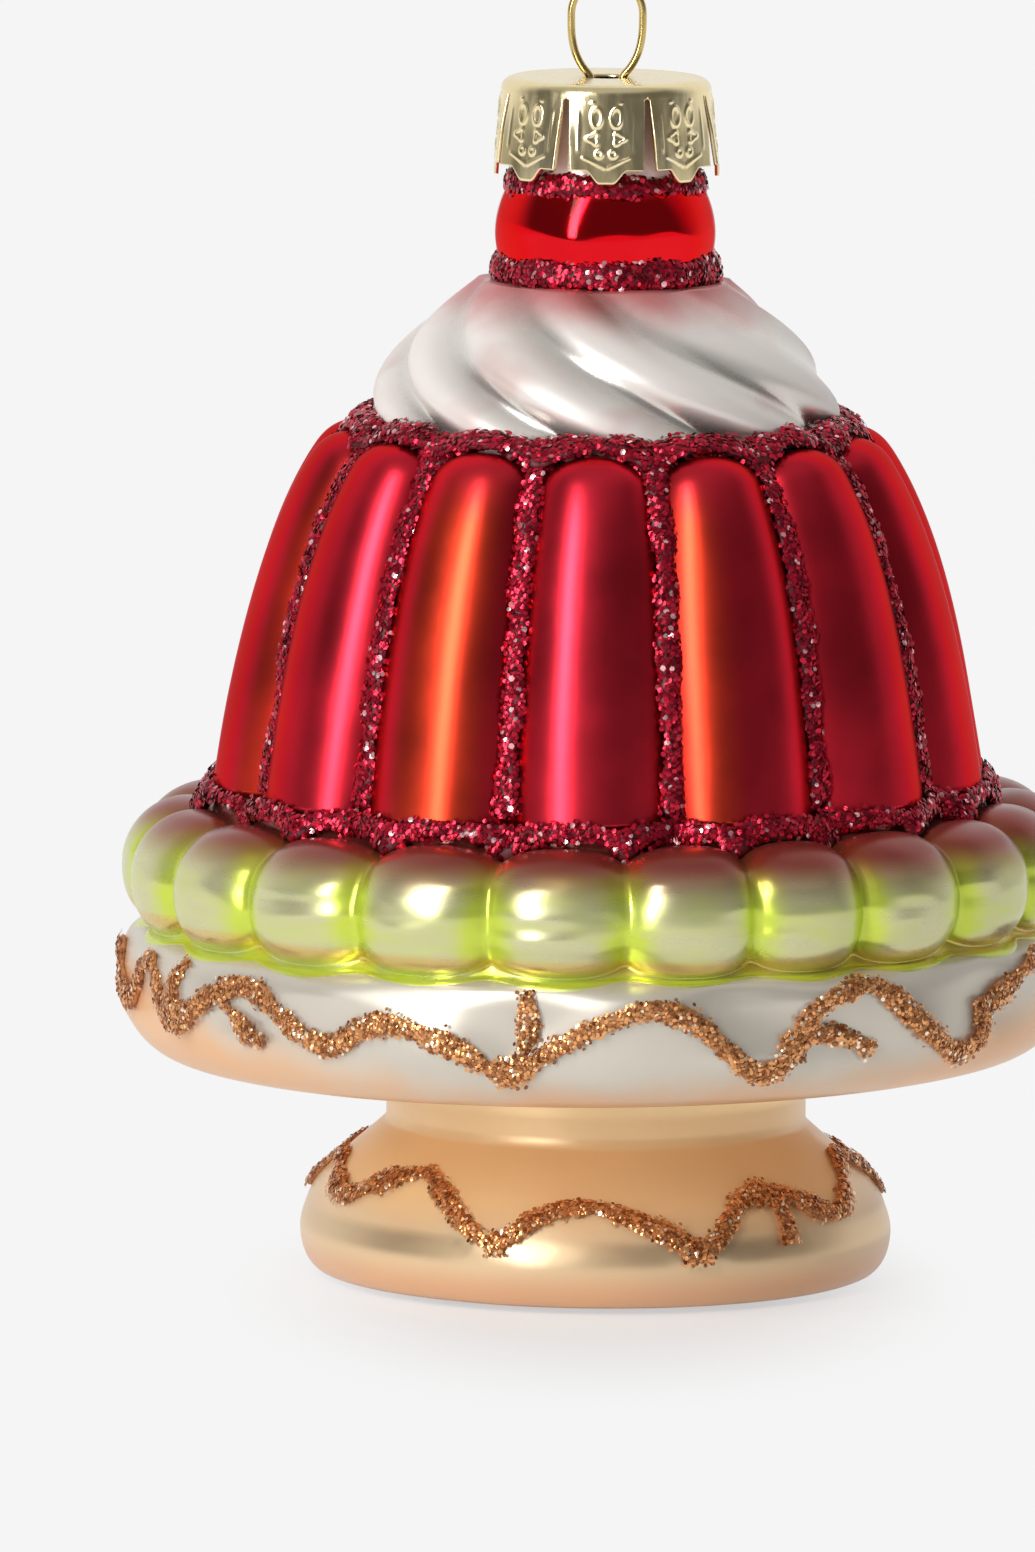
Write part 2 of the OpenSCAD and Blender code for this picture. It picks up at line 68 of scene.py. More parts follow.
CREAM_TOP = JELLY_TOP + CREAM_H
CHERRY_R, CHERRY_END_R, CHERRY_H = 8.8, 7.7, 7.7
CHERRY_TOP = CREAM_TOP + CHERRY_H
NECK_R, NECK_BORE_R, NECK_TOP = 7.3, 6.3, CHERRY_TOP + 7.9
CAP_TOP, CAP_R, CAP_SKIRT_R, CAP_H, CAP_T = NECK_TOP + 0.65, 8.4, 9.1, 6.7, 0.35
TONGUE_H, PETALS, CAP_HOLE_R, SLIT_W = 1.1, 8, 1.9, 1.1
WIRE_R, LOOP_HALF, LOOP_H, WIRE_HALF_GAP, LEG_L = 0.31, 2.85, 5.0, 1.2, 10.5
LACQUER_T, GLASS_OUT = 0.2, 0.5
PLATE_LEAN = 0.016  # rise of the plate and berries to the right
PLATE_MEAN_R, FOOT_MEAN_R, PATH_STEP = 38.0, 21.0, 0.25  # where and how finely scrolls are measured
FLAT_BEND = 1e6  # bend of a glitter bead that lies flat across


def put_object(name, data):
    """An object of a mesh, camera or light, linked to the scene."""
    made = bpy.data.objects.new(name, data)
    scene.collection.objects.link(made)
    return made


def set_camera():
    """The camera looks from the front, raised by CAMERA_RISE, and is rolled about its own axis."""
    data = bpy.data.cameras.new("camera")
    data.sensor_width = 36.0
    data.lens = data.sensor_width * CAMERA_DISTANCE / PICTURE_HEIGHT
    camera = put_object("camera", data)
    rise = math.radians(CAMERA_RISE)
    away = Vector((0.0, -math.cos(rise), math.sin(rise)))
    camera.location = (Vector(CAMERA_AIM) + away * CAMERA_DISTANCE) * MM
    turn = (-away).to_track_quat("-Z", "Y").to_matrix()
    camera.rotation_euler = (turn @ Matrix.Rotation(math.radians(CAMERA_ROLL), 3, "Z")).to_euler()
    scene.camera = camera


set_camera()


# Meshes from arrays
def ease(x):
    """0 below 0, 1 above 1, smooth between."""
    x = np.clip(x, 0.0, 1.0)
    return x * x * (3.0 - 2.0 * x)


def polar(r, a, z):
    """Points at radius r, at angle a from the front, at height z; the plate's zone leans a little."""
    a = np.radians(a)
    r, a, z = np.broadcast_arrays(r, a, z)
    x = r * np.sin(a)
    lean = PLATE_LEAN * x * ease((z - 13.0) / 6.0) * ease((47.0 - z) / 9.0)
    return np.stack([x, -r * np.cos(a), z + lean], -1)


def turn_angles(count):
    """Angles of one turn, starting at the first groove."""
    return GROOVE_ANGLE + 360.0 * np.arange(count) / count


def grid_quads(rows, columns, wrap_rows=False, wrap_columns=True):
    """Quads of a grid of points, row by row; rows and columns may close on themselves."""
    r = np.arange(rows if wrap_rows else rows - 1)[:, None]
    c = np.arange(columns if wrap_columns else columns - 1)[None, :]
    r2, c2 = (r + 1) % rows, (c + 1) % columns
    return np.stack(np.broadcast_arrays(
        r * columns + c, r * columns + c2, r2 * columns + c2, r2 * columns + c), -1).reshape(-1, 4)


def put_mesh(name, points, corners, starts, values=None, smooth=True, weld=False):
    """A mesh from points in millimetres, the corners of all faces in a row, and where each face starts.
    values are named numbers, one for each point. weld joins points that fall together, as at a pole."""
    mesh = bpy.data.meshes.new(name)
    mesh.vertices.add(len(points))
    mesh.vertices.foreach_set("co", np.asarray(points * MM, np.float32).ravel())
    mesh.loops.add(len(corners))
    mesh.loops.foreach_set("vertex_index", np.asarray(corners, np.int32))
    mesh.polygons.add(len(starts))
    mesh.polygons.foreach_set("loop_start", np.asarray(starts, np.int32))
    mesh.polygons.foreach_set("use_smooth", np.ones(len(starts), bool) & smooth)
    mesh.update(calc_edges=True)
    for key, numbers in (values or {}).items():
        layer = mesh.attributes.new(key, "FLOAT", "POINT")
        layer.data.foreach_set("value", np.asarray(numbers, np.float32).ravel())
    if weld:
        work = bmesh.new()
        work.from_mesh(mesh)
        bmesh.ops.remove_doubles(work, verts=work.verts, dist=1e-6)
        work.to_mesh(mesh)
        work.free()
    mesh.validate()
    return mesh


def put_piece(mesh, material, body, slot, *nodes):
    """An object of the mesh that rides on a body, takes the material's finish and stands for the nodes.
    slot is not used.
    """
    piece = put_object(mesh.name, mesh)
    mesh.materials.append(material)
    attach(piece, body)
    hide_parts(*nodes)
    return piece


def grid_mesh(name, points, values=None, wrap_rows=False, weld=False):
    """A smooth mesh over a grid of points of shape (rows, columns, 3)."""
    rows, columns = points.shape[:2]
    quads = grid_quads(rows, columns, wrap_rows)
    starts = np.arange(0, quads.size, 4)
    return put_mesh(name, points.reshape(-1, 3), quads.ravel(), starts, values, weld=weld)


def inset(r, z, depth):
    """Rows of radius and height, from low to high, moved by depth to their inner side."""
    along_r, along_z = np.gradient(r, axis=0), np.gradient(z, axis=0)
    length = np.hypot(along_r, along_z) + 1e-9
    return r - depth * along_z / length, z + depth * along_r / length


def coat_mesh(name, a, r, z, values=None):
    """A closed lacquer coat: rows of its visible side, then those of its inner side from the top down."""
    r_in, z_in = inset(r, z, LACQUER_T)
    points = polar(np.vstack([r, r_in[::-1]]), a, np.vstack([z, z_in[::-1]]))
    both = {key: np.vstack([v, v[::-1]]) for key, v in (values or {}).items()}
    return grid_mesh(name, points, both, wrap_rows=True)


# Shapes
def shoulder(s, p, q):
    """Falls from 1 to 0 as s goes from 0 to 1, with a round shoulder."""
    return (1.0 - s ** p) ** q


def wobble(a, v, seed):
    """Slow unevenness of hand-blown glass, about -1 to 1: five sines round the axis that drift with v."""
    rng = np.random.default_rng(seed)
    total = 0.0
    for count in (2, 3, 5, 7, 11):
        phase, drift = rng.uniform(0, 2 * np.pi), rng.uniform(-0.25, 0.25)
        total = total + np.sin(np.radians(count * a) + phase + drift * v) / 2.5
    return total


def laid_flat(turns):
    """A scroll's mean radius, its turning points laid flat, and the run along them."""
    mean_r = PLATE_MEAN_R if turns[:, 1].mean() > PLATE_Z else FOOT_MEAN_R
    flat = np.column_stack([np.radians(turns[:, 0]) * mean_r, turns[:, 1]])
    return mean_r, flat, np.append(0.0, np.cumsum(np.hypot(*np.diff(flat, axis=0).T)))


def closed_path(turns, smooth_mm):
    """Angle and height along a closed line through turning points, sampled evenly and rounded off by a
    moving average of width smooth_mm."""
    turns = np.array(turns + [(turns[0][0] + 360.0, turns[0][1])], float)
    mean_r, flat, run = laid_flat(turns)
    count = int(run[-1] / PATH_STEP)
    at = np.arange(count) * run[-1] / count
    slope = 2 * np.pi * mean_r / run[-1]
    x, y = np.interp(at, run, flat[:, 0]) - slope * at, np.interp(at, run, flat[:, 1])
    width = max(int(smooth_mm / PATH_STEP), 1)
    for _ in range(2):
        x, y = (np.mean([np.roll(k, j) for j in range(-width, width + 1)], axis=0) for k in (x, y))
    return np.degrees((x + slope * at) / mean_r), y


def open_path(turns):
    """Angle and height along an open line through a few points, sampled evenly."""
    turns = np.array(turns, float)
    run = laid_flat(turns)[2]
    at = np.linspace(0, run[-1], max(int(run[-1] / PATH_STEP), 4))
    return np.interp(at, run, turns[:, 0]), np.interp(at, run, turns[:, 1])


# Turning points of the copper scrolls, as angle and height; at the back they are a wave of two sines
PLATE_SCROLL = [
    (-90, 27), (-84, 25), (-78.5, 23), (-75.4, 25.4), (-71, 27.8), (-67.5, 26.8), (-64.8, 24.2),
    (-60.8, 22.6), (-56, 24.6), (-53, 26), (-49, 27), (-45.3, 26.6), (-41.3, 24.9), (-37.6, 23.4),
    (-33.6, 22.6), (-30.2, 24.2), (-27, 25.3), (-22.6, 24.8), (-18.4, 23.9), (-14.6, 22.6), (-10.7, 20.9),
    (-5.4, 23.5), (0.5, 25.5), (6.1, 26.9), (11.4, 25.6), (18.5, 21), (21.9, 21.1), (24.8, 24.4),
    (27.1, 26.6), (33.7, 27.9), (36.6, 26.8), (42, 23.5), (48, 20.8), (53.2, 21.7), (54, 24.2),
    (58.6, 25.4), (65.4, 27.9), (73, 25.6), (80, 22.2),
] + [(88 + 3.6 * k, 24.4 + 2.4 * math.sin(math.pi / 4 * k) + 0.6 * math.sin(1.3 * k)) for k in range(49)]
PLATE_SPURS = [
    [(-60.8, 23.6), (-61.2, 26), (-59.4, 28)], [(-52.4, 25.8), (-50.1, 24.6), (-47.3, 23.3), (-43.7, 22.5)],
    [(-8.7, 28), (-8.4, 24.4), (-10.4, 21.6)], [(24.8, 24.3), (30.8, 23.6), (34.7, 22.3)],
    [(109, 21.9), (108, 24.4), (109.4, 27.6)], [(154.5, 27), (158.5, 24.4), (163.5, 23)],
    [(226, 22.2), (225, 24.4), (226.6, 27.6)],
]
PLATE_BLOBS = [(-60.8, 23.5), (-10.6, 21.6), (53.6, 24), (23.4, 23), (109, 22.2), (168, 22.2), (226, 22.4)]
FOOT_SCROLL = [
    (-88, 9.9), (-80, 9.3), (-72, 8.3), (-63.5, 7.2), (-56.5, 8.4), (-49.9, 9.4), (-41.1, 10.2), (-32, 8),
    (-25.6, 6.4), (-19.6, 5.2), (-14.2, 7.1), (-8, 8.2), (0.3, 8.5), (6.9, 7.6), (13.2, 6.6), (17.6, 5.7),
    (20.4, 4.4), (25.6, 6.4), (31.8, 8.6), (36.8, 9), (45.7, 8.5), (51.4, 7.2), (58.3, 6.6), (67.5, 8.5),
    (78, 10.6),
] + [(85 + 4 * k, 7.8 + 1.5 * math.cos(math.pi / 4 * k) + 0.4 * math.sin(1.3 * k)) for k in range(45)]
FOOT_SPURS = [[(41.6, 8.7), (41, 5)], [(133, 6.2), (132, 8.8)], [(213, 9.4), (215, 6)]]
FOOT_BLOBS = [(-19.6, 5.5), (19.8, 5), (38, 8.8), (165, 6)]
plate_line = closed_path(PLATE_SCROLL, 1.2)
foot_line = closed_path(FOOT_SCROLL, 0.8)


def swell(a, z, line, mean_r, width):
    """1 on a scroll's line, falling to 0 at about twice width from it: a bell curve of the distance."""
    line_a, line_z = np.radians(line[0][::4]), line[1][::4]
    turn = np.radians(a)[..., None] - line_a
    across = (turn - 2 * np.pi * np.round(turn / (2 * np.pi))) * mean_r
    far2 = (across ** 2 + (z[..., None] - line_z) ** 2).min(-1)
    return np.exp(-far2 / width ** 2)


def rim_bulge(a, z):
    """How far the rim stands out: soft swags, sines that drift with height, and a low swell under the
    scroll."""
    up = z - 24.0
    swag = np.sin(np.radians(a * 11.0 + 25.0 * up)) + 0.6 * np.sin(np.radians(a * 17.0 - 18.0 * up) + 1.0)
    bulge = 0.2 * swell(a, z, plate_line, PLATE_R, 1.6) + 0.32 * swag * ease((z - 19.5) / 4.0)
    return bulge * ease((z - PLATE_Z - 1.0) / 3.0) * ease((PLATE_TOP - z) / 1.6)


def foot_bulge(a, z):
    """How far the foot stands out under its scroll."""
    return 0.25 * swell(a, z, foot_line, FOOT_MEAN_R, 1.4) * ease((z - 3.0) / 1.5)


def rim_place(a, z):
    """Radius of the plate's rim at angle a and height z and how far its face tilts: the lower edge and the
    lip are arcs."""
    down = np.arcsin(np.clip((z - PLATE_Z) / PLATE_EDGE_R - 1.0, -1.0, 0.0))
    up = np.arcsin(np.clip((z - PLATE_TOP) / PLATE_LIP_R + 1.0, 0.0, 1.0))
    rounded = PLATE_EDGE_R * (1.0 - np.cos(down)) + PLATE_LIP_R * (1.0 - np.cos(up))
    return PLATE_R - rounded + rim_bulge(a, z), down + up


def foot_radius(s):
    """Radius of the foot's upper side at share s of the way from its belly up to the stem."""
    return STEM_R + (FOOT_R - STEM_R) * shoulder(s, 1.8, 1.15)


def foot_place(a, z):
    """Radius of the foot's upper side at angle a and height z and how far its face tilts upwards."""
    def radius(height):
        return foot_radius(np.clip((height - FOOT_BELLY_Z) / (FOOT_H - FOOT_BELLY_Z), 0.0, 1.0))
    return radius(z) + foot_bulge(a, z), np.arctan2(radius(z - 0.1) - radius(z + 0.1), 0.2)


def stand_surface(a):
    """Foot, stem and plate, from the coat's lower edge to the plate's top: a quarter ellipse under the
    belly, a round shoulder up to the stem, a fillet, the underside, the lower edge, the rim and the lip."""
    def line(r, z):
        return np.column_stack(np.broadcast_arrays(r, z))

    def arc(r0, z0, radius, start, end, count):
        t = np.radians(np.linspace(start, end, count))
        return line(r0 + radius * np.cos(t), z0 + radius * np.sin(t))

    low = np.radians(np.linspace(-60, 0, 12)[:-1])
    s = np.linspace(0, 1, 30)
    fillet_r, fillet_z = STEM_R + STEM_FILLET_R, PLATE_Z - STEM_FILLET_R
    edge_r, edge_z = PLATE_R - PLATE_EDGE_R, PLATE_Z + PLATE_EDGE_R
    lip_r, lip_z = PLATE_R - PLATE_LIP_R, PLATE_TOP - PLATE_LIP_R
    outline = np.vstack([
        line(FOOT_FLAT_R + (FOOT_R - FOOT_FLAT_R) * np.cos(low) ** 0.5, FOOT_BELLY_Z * (1 + np.sin(low))),
        line(foot_radius(s), FOOT_BELLY_Z + (FOOT_H - FOOT_BELLY_Z) * s),
        line(STEM_R, np.linspace(FOOT_H, fillet_z, 6)[1:-1]),
        arc(fillet_r, fillet_z, STEM_FILLET_R, 180, 90, 8),
        line(np.linspace(fillet_r, edge_r, 10)[1:-1], PLATE_Z),
        arc(edge_r, edge_z, PLATE_EDGE_R, -90, 0, 16),
        line(PLATE_R, np.linspace(edge_z, lip_z, 14)[1:-1]),
        arc(lip_r, lip_z, PLATE_LIP_R, 0, 90, 8),
    ])
    r, z, angle = np.broadcast_arrays(outline[:, :1], outline[:, 1:], a)
    bulge = rim_bulge(angle, z) * (r > PLATE_R - 3.0) + foot_bulge(angle, z) * (z < FOOT_H)
    return r + bulge + 0.06 * wobble(angle, z, 3), z


# Middles of the berries: as seen in front, then evenly round the back
BERRY_ANGLES = np.array([-75, -57.8, -40, -22.7, -5.2, 12, 27, 41.6, 59.4, 75]
                        + [75 + 210 / 13 * k for k in range(1, 13)])
BERRY_EDGES = (BERRY_ANGLES + np.append(BERRY_ANGLES[1:], BERRY_ANGLES[0] + 360.0)) / 2.0


def berry_across(a):
    """The berry at each angle, the width of its place in degrees, and the share of the way from its middle,
    where it is 0, to the notch on either side, where it is -1 or 1."""
    first = BERRY_EDGES[-1] - 360.0
    turn = (a - first) % 360.0 + first
    cell = np.searchsorted(BERRY_EDGES, turn, side="right") % len(BERRY_ANGLES)
    low, high, off = np.append(first, BERRY_EDGES)[cell], BERRY_EDGES[cell], turn - BERRY_ANGLES[cell]
    return cell, high - low, off / np.where(off < 0, BERRY_ANGLES[cell] - low, high - BERRY_ANGLES[cell])


def berry_surface(a):
    """Ring of berries: at each angle an arc about the ring's middle circle, a little squarer below, whose
    radius swells like a superellipse from the notch to a berry's middle; webs tie it to plate and jelly.
    The lower web wraps the plate's lip, from its top in a notch and from its outside under a berry.
    Also gives how deep each point lies in a notch or web, from 0 to 1, and how near it is to the lip."""
    cell, width, across = berry_across(a)
    u = 1.0 - np.sqrt((1.0 - np.abs(across)) ** 2 + 0.07 ** 2)
    rng = np.random.default_rng(22)
    radius = BERRY_R * (0.93 + 0.07 * width / 17.0) * rng.uniform(0.97, 1.02, len(BERRY_ANGLES))[cell]
    slice_r = BERRY_NOTCH_R + (radius - BERRY_NOTCH_R) * (1.0 - np.abs(u) ** 2.3) ** (1 / 2.3)
    ring_r = BERRY_RING_R - 0.35 * u ** 2
    t = np.radians(np.linspace(-58, 112, 36))[:, None]
    full = np.where(t < 0, 0.83, 1.0)
    r, z = (slice_r * np.sign(x) * np.abs(x) ** full for x in (np.cos(t), np.sin(t)))
    r, z = ring_r + r, BERRY_Z + z
    share = np.linspace(0, 1, 6)[:, None]
    lip = np.radians(32.0 + 53.0 * u ** 2 + (42.0 - 37.0 * u ** 2) * share)
    proud = PLATE_LIP_R + 0.1 - 0.3 * (1.0 - share) ** 3
    lip_z = PLATE_TOP - PLATE_LIP_R + proud * np.sin(lip)
    lip_r = PLATE_R - PLATE_LIP_R + proud * np.cos(lip) + rim_bulge(a[None, :], lip_z)
    step = np.linspace(0, 1, 4)[1:, None]
    base_r, base_z = JELLY_R - FLUTE_DEPTH * sunk(a) - 0.15, JELLY_Z - 0.3
    web_r, web_z = lip_r[-1] + (r[0] - lip_r[-1]) * step[:-1], lip_z[-1] + (z[0] - lip_z[-1]) * step[:-1]
    r = np.vstack([lip_r, web_r, r, r[-1] + (base_r - r[-1]) * step])
    z = np.vstack([lip_z, web_z, z, z[-1] + (base_z - z[-1]) * step])
    notch = np.broadcast_to(ease((np.abs(across) - 0.45) / 0.5), r.shape)
    below = ease((29.4 - z) / 1.2)
    edge = np.zeros_like(r)
    edge[:6] = 1.0 - share
    return r, z, np.maximum(notch, below), edge


def sunk(a, width=1.0):
    """Depth across a flute that fills a share of its place: a power of the distance from its crest, where
    it is 0, to its groove, where it is 1. A narrower flute stands out less, so that its end is a dome."""
    turn = (a - GROOVE_ANGLE) * FLUTES / 360.0
    across = np.clip((2.0 * (turn - np.floor(turn + 1e-9)) - 1.0) / width, -1.0, 1.0)
    return 1.0 - (1.0 - np.abs(across) ** 2.4) * width


def jelly_place(h, d):
    """Radius and height of the jelly at share h of its height where the flutes are sunk by d."""
    r = JELLY_R - JELLY_TAPER * h - JELLY_CROWN * (1.0 - shoulder(h, 2.8, 0.6))
    return r - FLUTE_DEPTH * d * (1.0 - h / 4.0), JELLY_Z + JELLY_H * h - ARCH_H * d * h ** 2


def flute_width(h):
    """Share of its place that a flute fills at share h of the height: 1, then over a last stretch it
    shrinks like a full half circle, so that a flute ends in an arch a little below the jelly's top."""
    level = np.sin(np.radians(np.linspace(0, 90, 400)))
    r, z = jelly_place(level, 0.0)
    run = np.append(0.0, np.cumsum(np.hypot(np.diff(r), np.diff(z))))
    end = np.clip(1.0 - (run[-1] - FLUTE_STOP - np.interp(h, level, run)) / FLUTE_END, 0.0, 1.0)
    return np.maximum((1.0 - end ** 2.5) ** 0.45, 0.03)


def jelly_surface(a):
    """Fluted jelly with a straight taper and a round shoulder, closed by a ledge in to the cream. Also
    gives how scarlet a point is and how deep it lies in a groove. Every other flute is scarlet, but only
    across the part that faces where the highlight falls, and the opposite way, fading out towards the top:
    two-tone paint with a painted highlight."""
    h = np.sin(np.radians(np.linspace(0, 90, 80)))[:, None]
    d = sunk(a, flute_width(h))
    r, z = jelly_place(h, d)
    r = r + 0.05 * wobble(a, z, 5) * (1.0 - d)
    ledge = np.linspace(0, 1, 7)[1:, None]
    r_end, z_end = CREAM_R - 2.2, JELLY_TOP + 0.1
    r = np.vstack([r, r[-1] + (r_end - r[-1]) * ledge])
    z = np.vstack([z, z[-1] + (z_end - z[-1]) * ledge])
    d = np.vstack([d, np.repeat(d[-1:], len(ledge), 0)])
    # Painted highlight: every other flute is scarlet, but only across the part that faces where the
    # highlight falls, and the opposite way, fading out towards the top.
    faces = a - np.degrees(np.arctan2(np.gradient(r, np.radians(a), axis=1), r))
    aside = np.abs((faces - HIGHLIGHT_ANGLE + 90.0) % 180.0 - 90.0)
    every_other = np.floor((a - GROOVE_ANGLE) * FLUTES / 360.0 + 1e-6) % 2 == 0
    faces_highlight = 1.0 - ease((aside - HIGHLIGHT_CORE) / HIGHLIGHT_FADE)
    return r, z, every_other * faces_highlight * ease((JELLY_TOP - 1.0 - z) / 6.0), d


def cream_surface(a):
    """Piped cream: a round-shouldered cone with ridges that climb to the left. The furrows are a cosine
    raised to a power, so that the ridges are broad, and the ridges differ a little in width and depth.
    The foot goes on straight down into the jelly, and the top closes in to the cherry."""
    h = np.linspace(0, 1, 64)[:, None]
    turn = a - GROOVE_ANGLE + RIDGE_TURN * h
    turn = turn + 5.0 * np.sin(np.radians(2 * turn + 40)) + 3.0 * np.sin(np.radians(3 * turn + 200))
    furrow = ((1.0 - np.cos(np.radians(turn * RIDGES))) / 2.0) ** 1.4
    depth = RIDGE_DEPTH * (1.0 + 0.25 * np.sin(np.radians(turn * 2 + 70))) * (1.0 - 0.55 * h)
    r = CREAM_TOP_R + (CREAM_R - CREAM_TOP_R) * shoulder(h, 1.9, 1.1) - depth * furrow
    z = JELLY_TOP + CREAM_H * h + 0.0 * r
    step = np.arange(1, 7)[:, None]
    r = np.vstack([np.repeat(r[:1], 4, 0), r, r[-1] + (CHERRY_END_R - 0.3 - r[-1]) * step / 6.0])
    z = np.vstack([z[0] - 0.35 * step[3::-1], z, z[-1] + 0.02 * step])
    furrow = np.vstack([np.repeat(furrow[:1], 4, 0), furrow, np.repeat(furrow[-1:], 6, 0)])
    return r + 0.06 * wobble(a, z, 7), z, furrow


def cherry_place(z):
    """Radius of the cherry at height z: its ends and a bulge like a half sine, a little fuller."""
    bulge = np.maximum(np.sin(np.pi * (z - CREAM_TOP) / CHERRY_H), 0.0) ** 0.8
    return CHERRY_END_R + (CHERRY_R - CHERRY_END_R) * bulge


def cherry_surface(a):
    """The cherry's bulge, closed in to the neck at its top."""
    share = (1.0 - np.cos(np.radians(np.linspace(0, 180, 48)))[:, None]) / 2.0
    z = CREAM_TOP + CHERRY_H * share + 0.0 * a
    r = cherry_place(z) + 0.05 * wobble(a, z, 9)
    steps = np.linspace(0, 1, 5)[1:, None]
    return np.vstack([r, r[-1] + (NECK_R + 0.25 - r[-1]) * steps]), np.vstack([z, z[-1] + 0.12 * steps])


def glass_surface(a):
    """The blown shell: dimple, flat ring, every zone's outside under its coat, the neck and the hollow."""
    ones = np.ones((1, len(a)))
    x = np.linspace(0, 1, 8)[:, None]
    rows = [(DIMPLE_R * x * ones, DIMPLE_DEPTH * (1.0 - x ** 2) * ones), (FOOT_FLAT_R * ones, 0.0 * ones)]
    surfaces = (stand_surface, berry_surface, jelly_surface, cream_surface, cherry_surface)
    zones = [surface(a)[:2] for surface in surfaces]
    rows += [inset(r[::2], z[::2], GLASS_OUT) for r, z in zones]
    hollow = [
        (NECK_R, CHERRY_TOP + 0.1), (NECK_R, NECK_TOP - 0.25), (NECK_R - 0.25, NECK_TOP),
        (NECK_BORE_R + 0.25, NECK_TOP), (NECK_BORE_R, NECK_TOP - 0.25), (NECK_BORE_R, CHERRY_TOP - 0.4),
        (CHERRY_R - 1.6, CREAM_TOP + 3.6), (CHERRY_END_R - 1.3, CREAM_TOP - 0.7),
        (CREAM_TOP_R - 1.2, CREAM_TOP - 2.2), (CREAM_R - 4.4, JELLY_TOP + 4.6),
        (CREAM_R - 2.8, JELLY_TOP - 1.4), (JELLY_R - 9.6, JELLY_TOP - 4.6), (JELLY_R - 6.6, JELLY_Z + 18.0),
        (JELLY_R - 4.0, JELLY_Z + 1.0), (BERRY_RING_R - 2.2, BERRY_Z + 1.0),
        (PLATE_R - 2.6, PLATE_TOP - 1.6), (PLATE_R - 1.4, PLATE_Z + 5.0), (PLATE_R - 4.8, PLATE_Z + 1.4),
        (STEM_R - 1.3, PLATE_Z + 1.0), (STEM_R - 1.3, FOOT_H), (FOOT_R - 4.2, FOOT_H - 4.6),
        (FOOT_R - 1.5, FOOT_BELLY_Z), (FOOT_FLAT_R - 1.3, 2.05), (0.0, 2.05),
    ]
    rows += [(r * ones, z * ones) for r, z in hollow]
    return np.vstack([r for r, _ in rows]), np.vstack([z for _, z in rows])


# Glitter
RED_FLAKE_R, COPPER_FLAKE_R, FLAKE_COVER, FLAKE_TILT = 0.235, 0.185, 1.25, 0.22
HEX = np.radians(np.arange(6) * 60.0)
GOLDEN = (math.sqrt(5.0) - 1.0) / 2.0
FLAKE_CORNERS = np.concatenate(
    [[k, (k + 1) % 6, 6] for k in range(6)] + [[(k + 1) % 6, k, 7] for k in range(6)])


def unit(v):
    return v / (np.linalg.norm(v, axis=-1, keepdims=True) + 1e-12)


def flake_plates(spots, facing, radius, rng):
    """Thin six-sided plates on the spots, each tilted and turned at random about what it faces: a rim of
    six points between a middle a hair above it and one a hair below."""
    count = len(spots)
    up = unit(facing + FLAKE_TILT * rng.normal(size=(count, 3)))
    side = unit(np.cross(up, rng.normal(size=(count, 3))))
    ahead = np.cross(up, side)
    size = radius * rng.uniform(0.8, 1.15, (count, 1, 1))
    ring = size * (np.cos(HEX)[:, None] * side[:, None] + np.sin(HEX)[:, None] * ahead[:, None])
    middles = (spots + 0.02 * up)[:, None], (spots - 0.02 * up)[:, None]
    return np.concatenate([spots[:, None] + ring, *middles], 1)


def bead_tube(path, facing, width, height, bend, closed):
    """Points of a bead along a path: sections are ellipses, width across and height off the surface, that
    fall away sideways as a circle of radius bend does. The ends of an open bead are drawn in to a point.
    Also gives the frame that flakes are laid by."""
    count = len(path)
    if closed:
        along = unit(np.roll(path, -1, 0) - np.roll(path, 1, 0))
    else:
        along = unit(np.gradient(path, axis=0))
        end = np.minimum(np.arange(count), np.arange(count)[::-1]) / 3.0
        taper = np.sqrt(np.clip(end * (2.0 - end), 0.0, 1.0) * (end < 1) + (end >= 1))
        width, height = width * np.maximum(taper, 1e-3), height * np.maximum(taper, 1e-3)
    side = unit(np.cross(along, facing))
    up = np.cross(side, along)
    t = np.radians(np.arange(10) * 36.0)
    across = np.cos(t)[None, :] * width[:, None] / 2
    off = np.sin(t)[None, :] * height[:, None] - across ** 2 / (2 * bend)
    return path[:, None] + side[:, None] * across[..., None] + up[:, None] * off[..., None], side, up


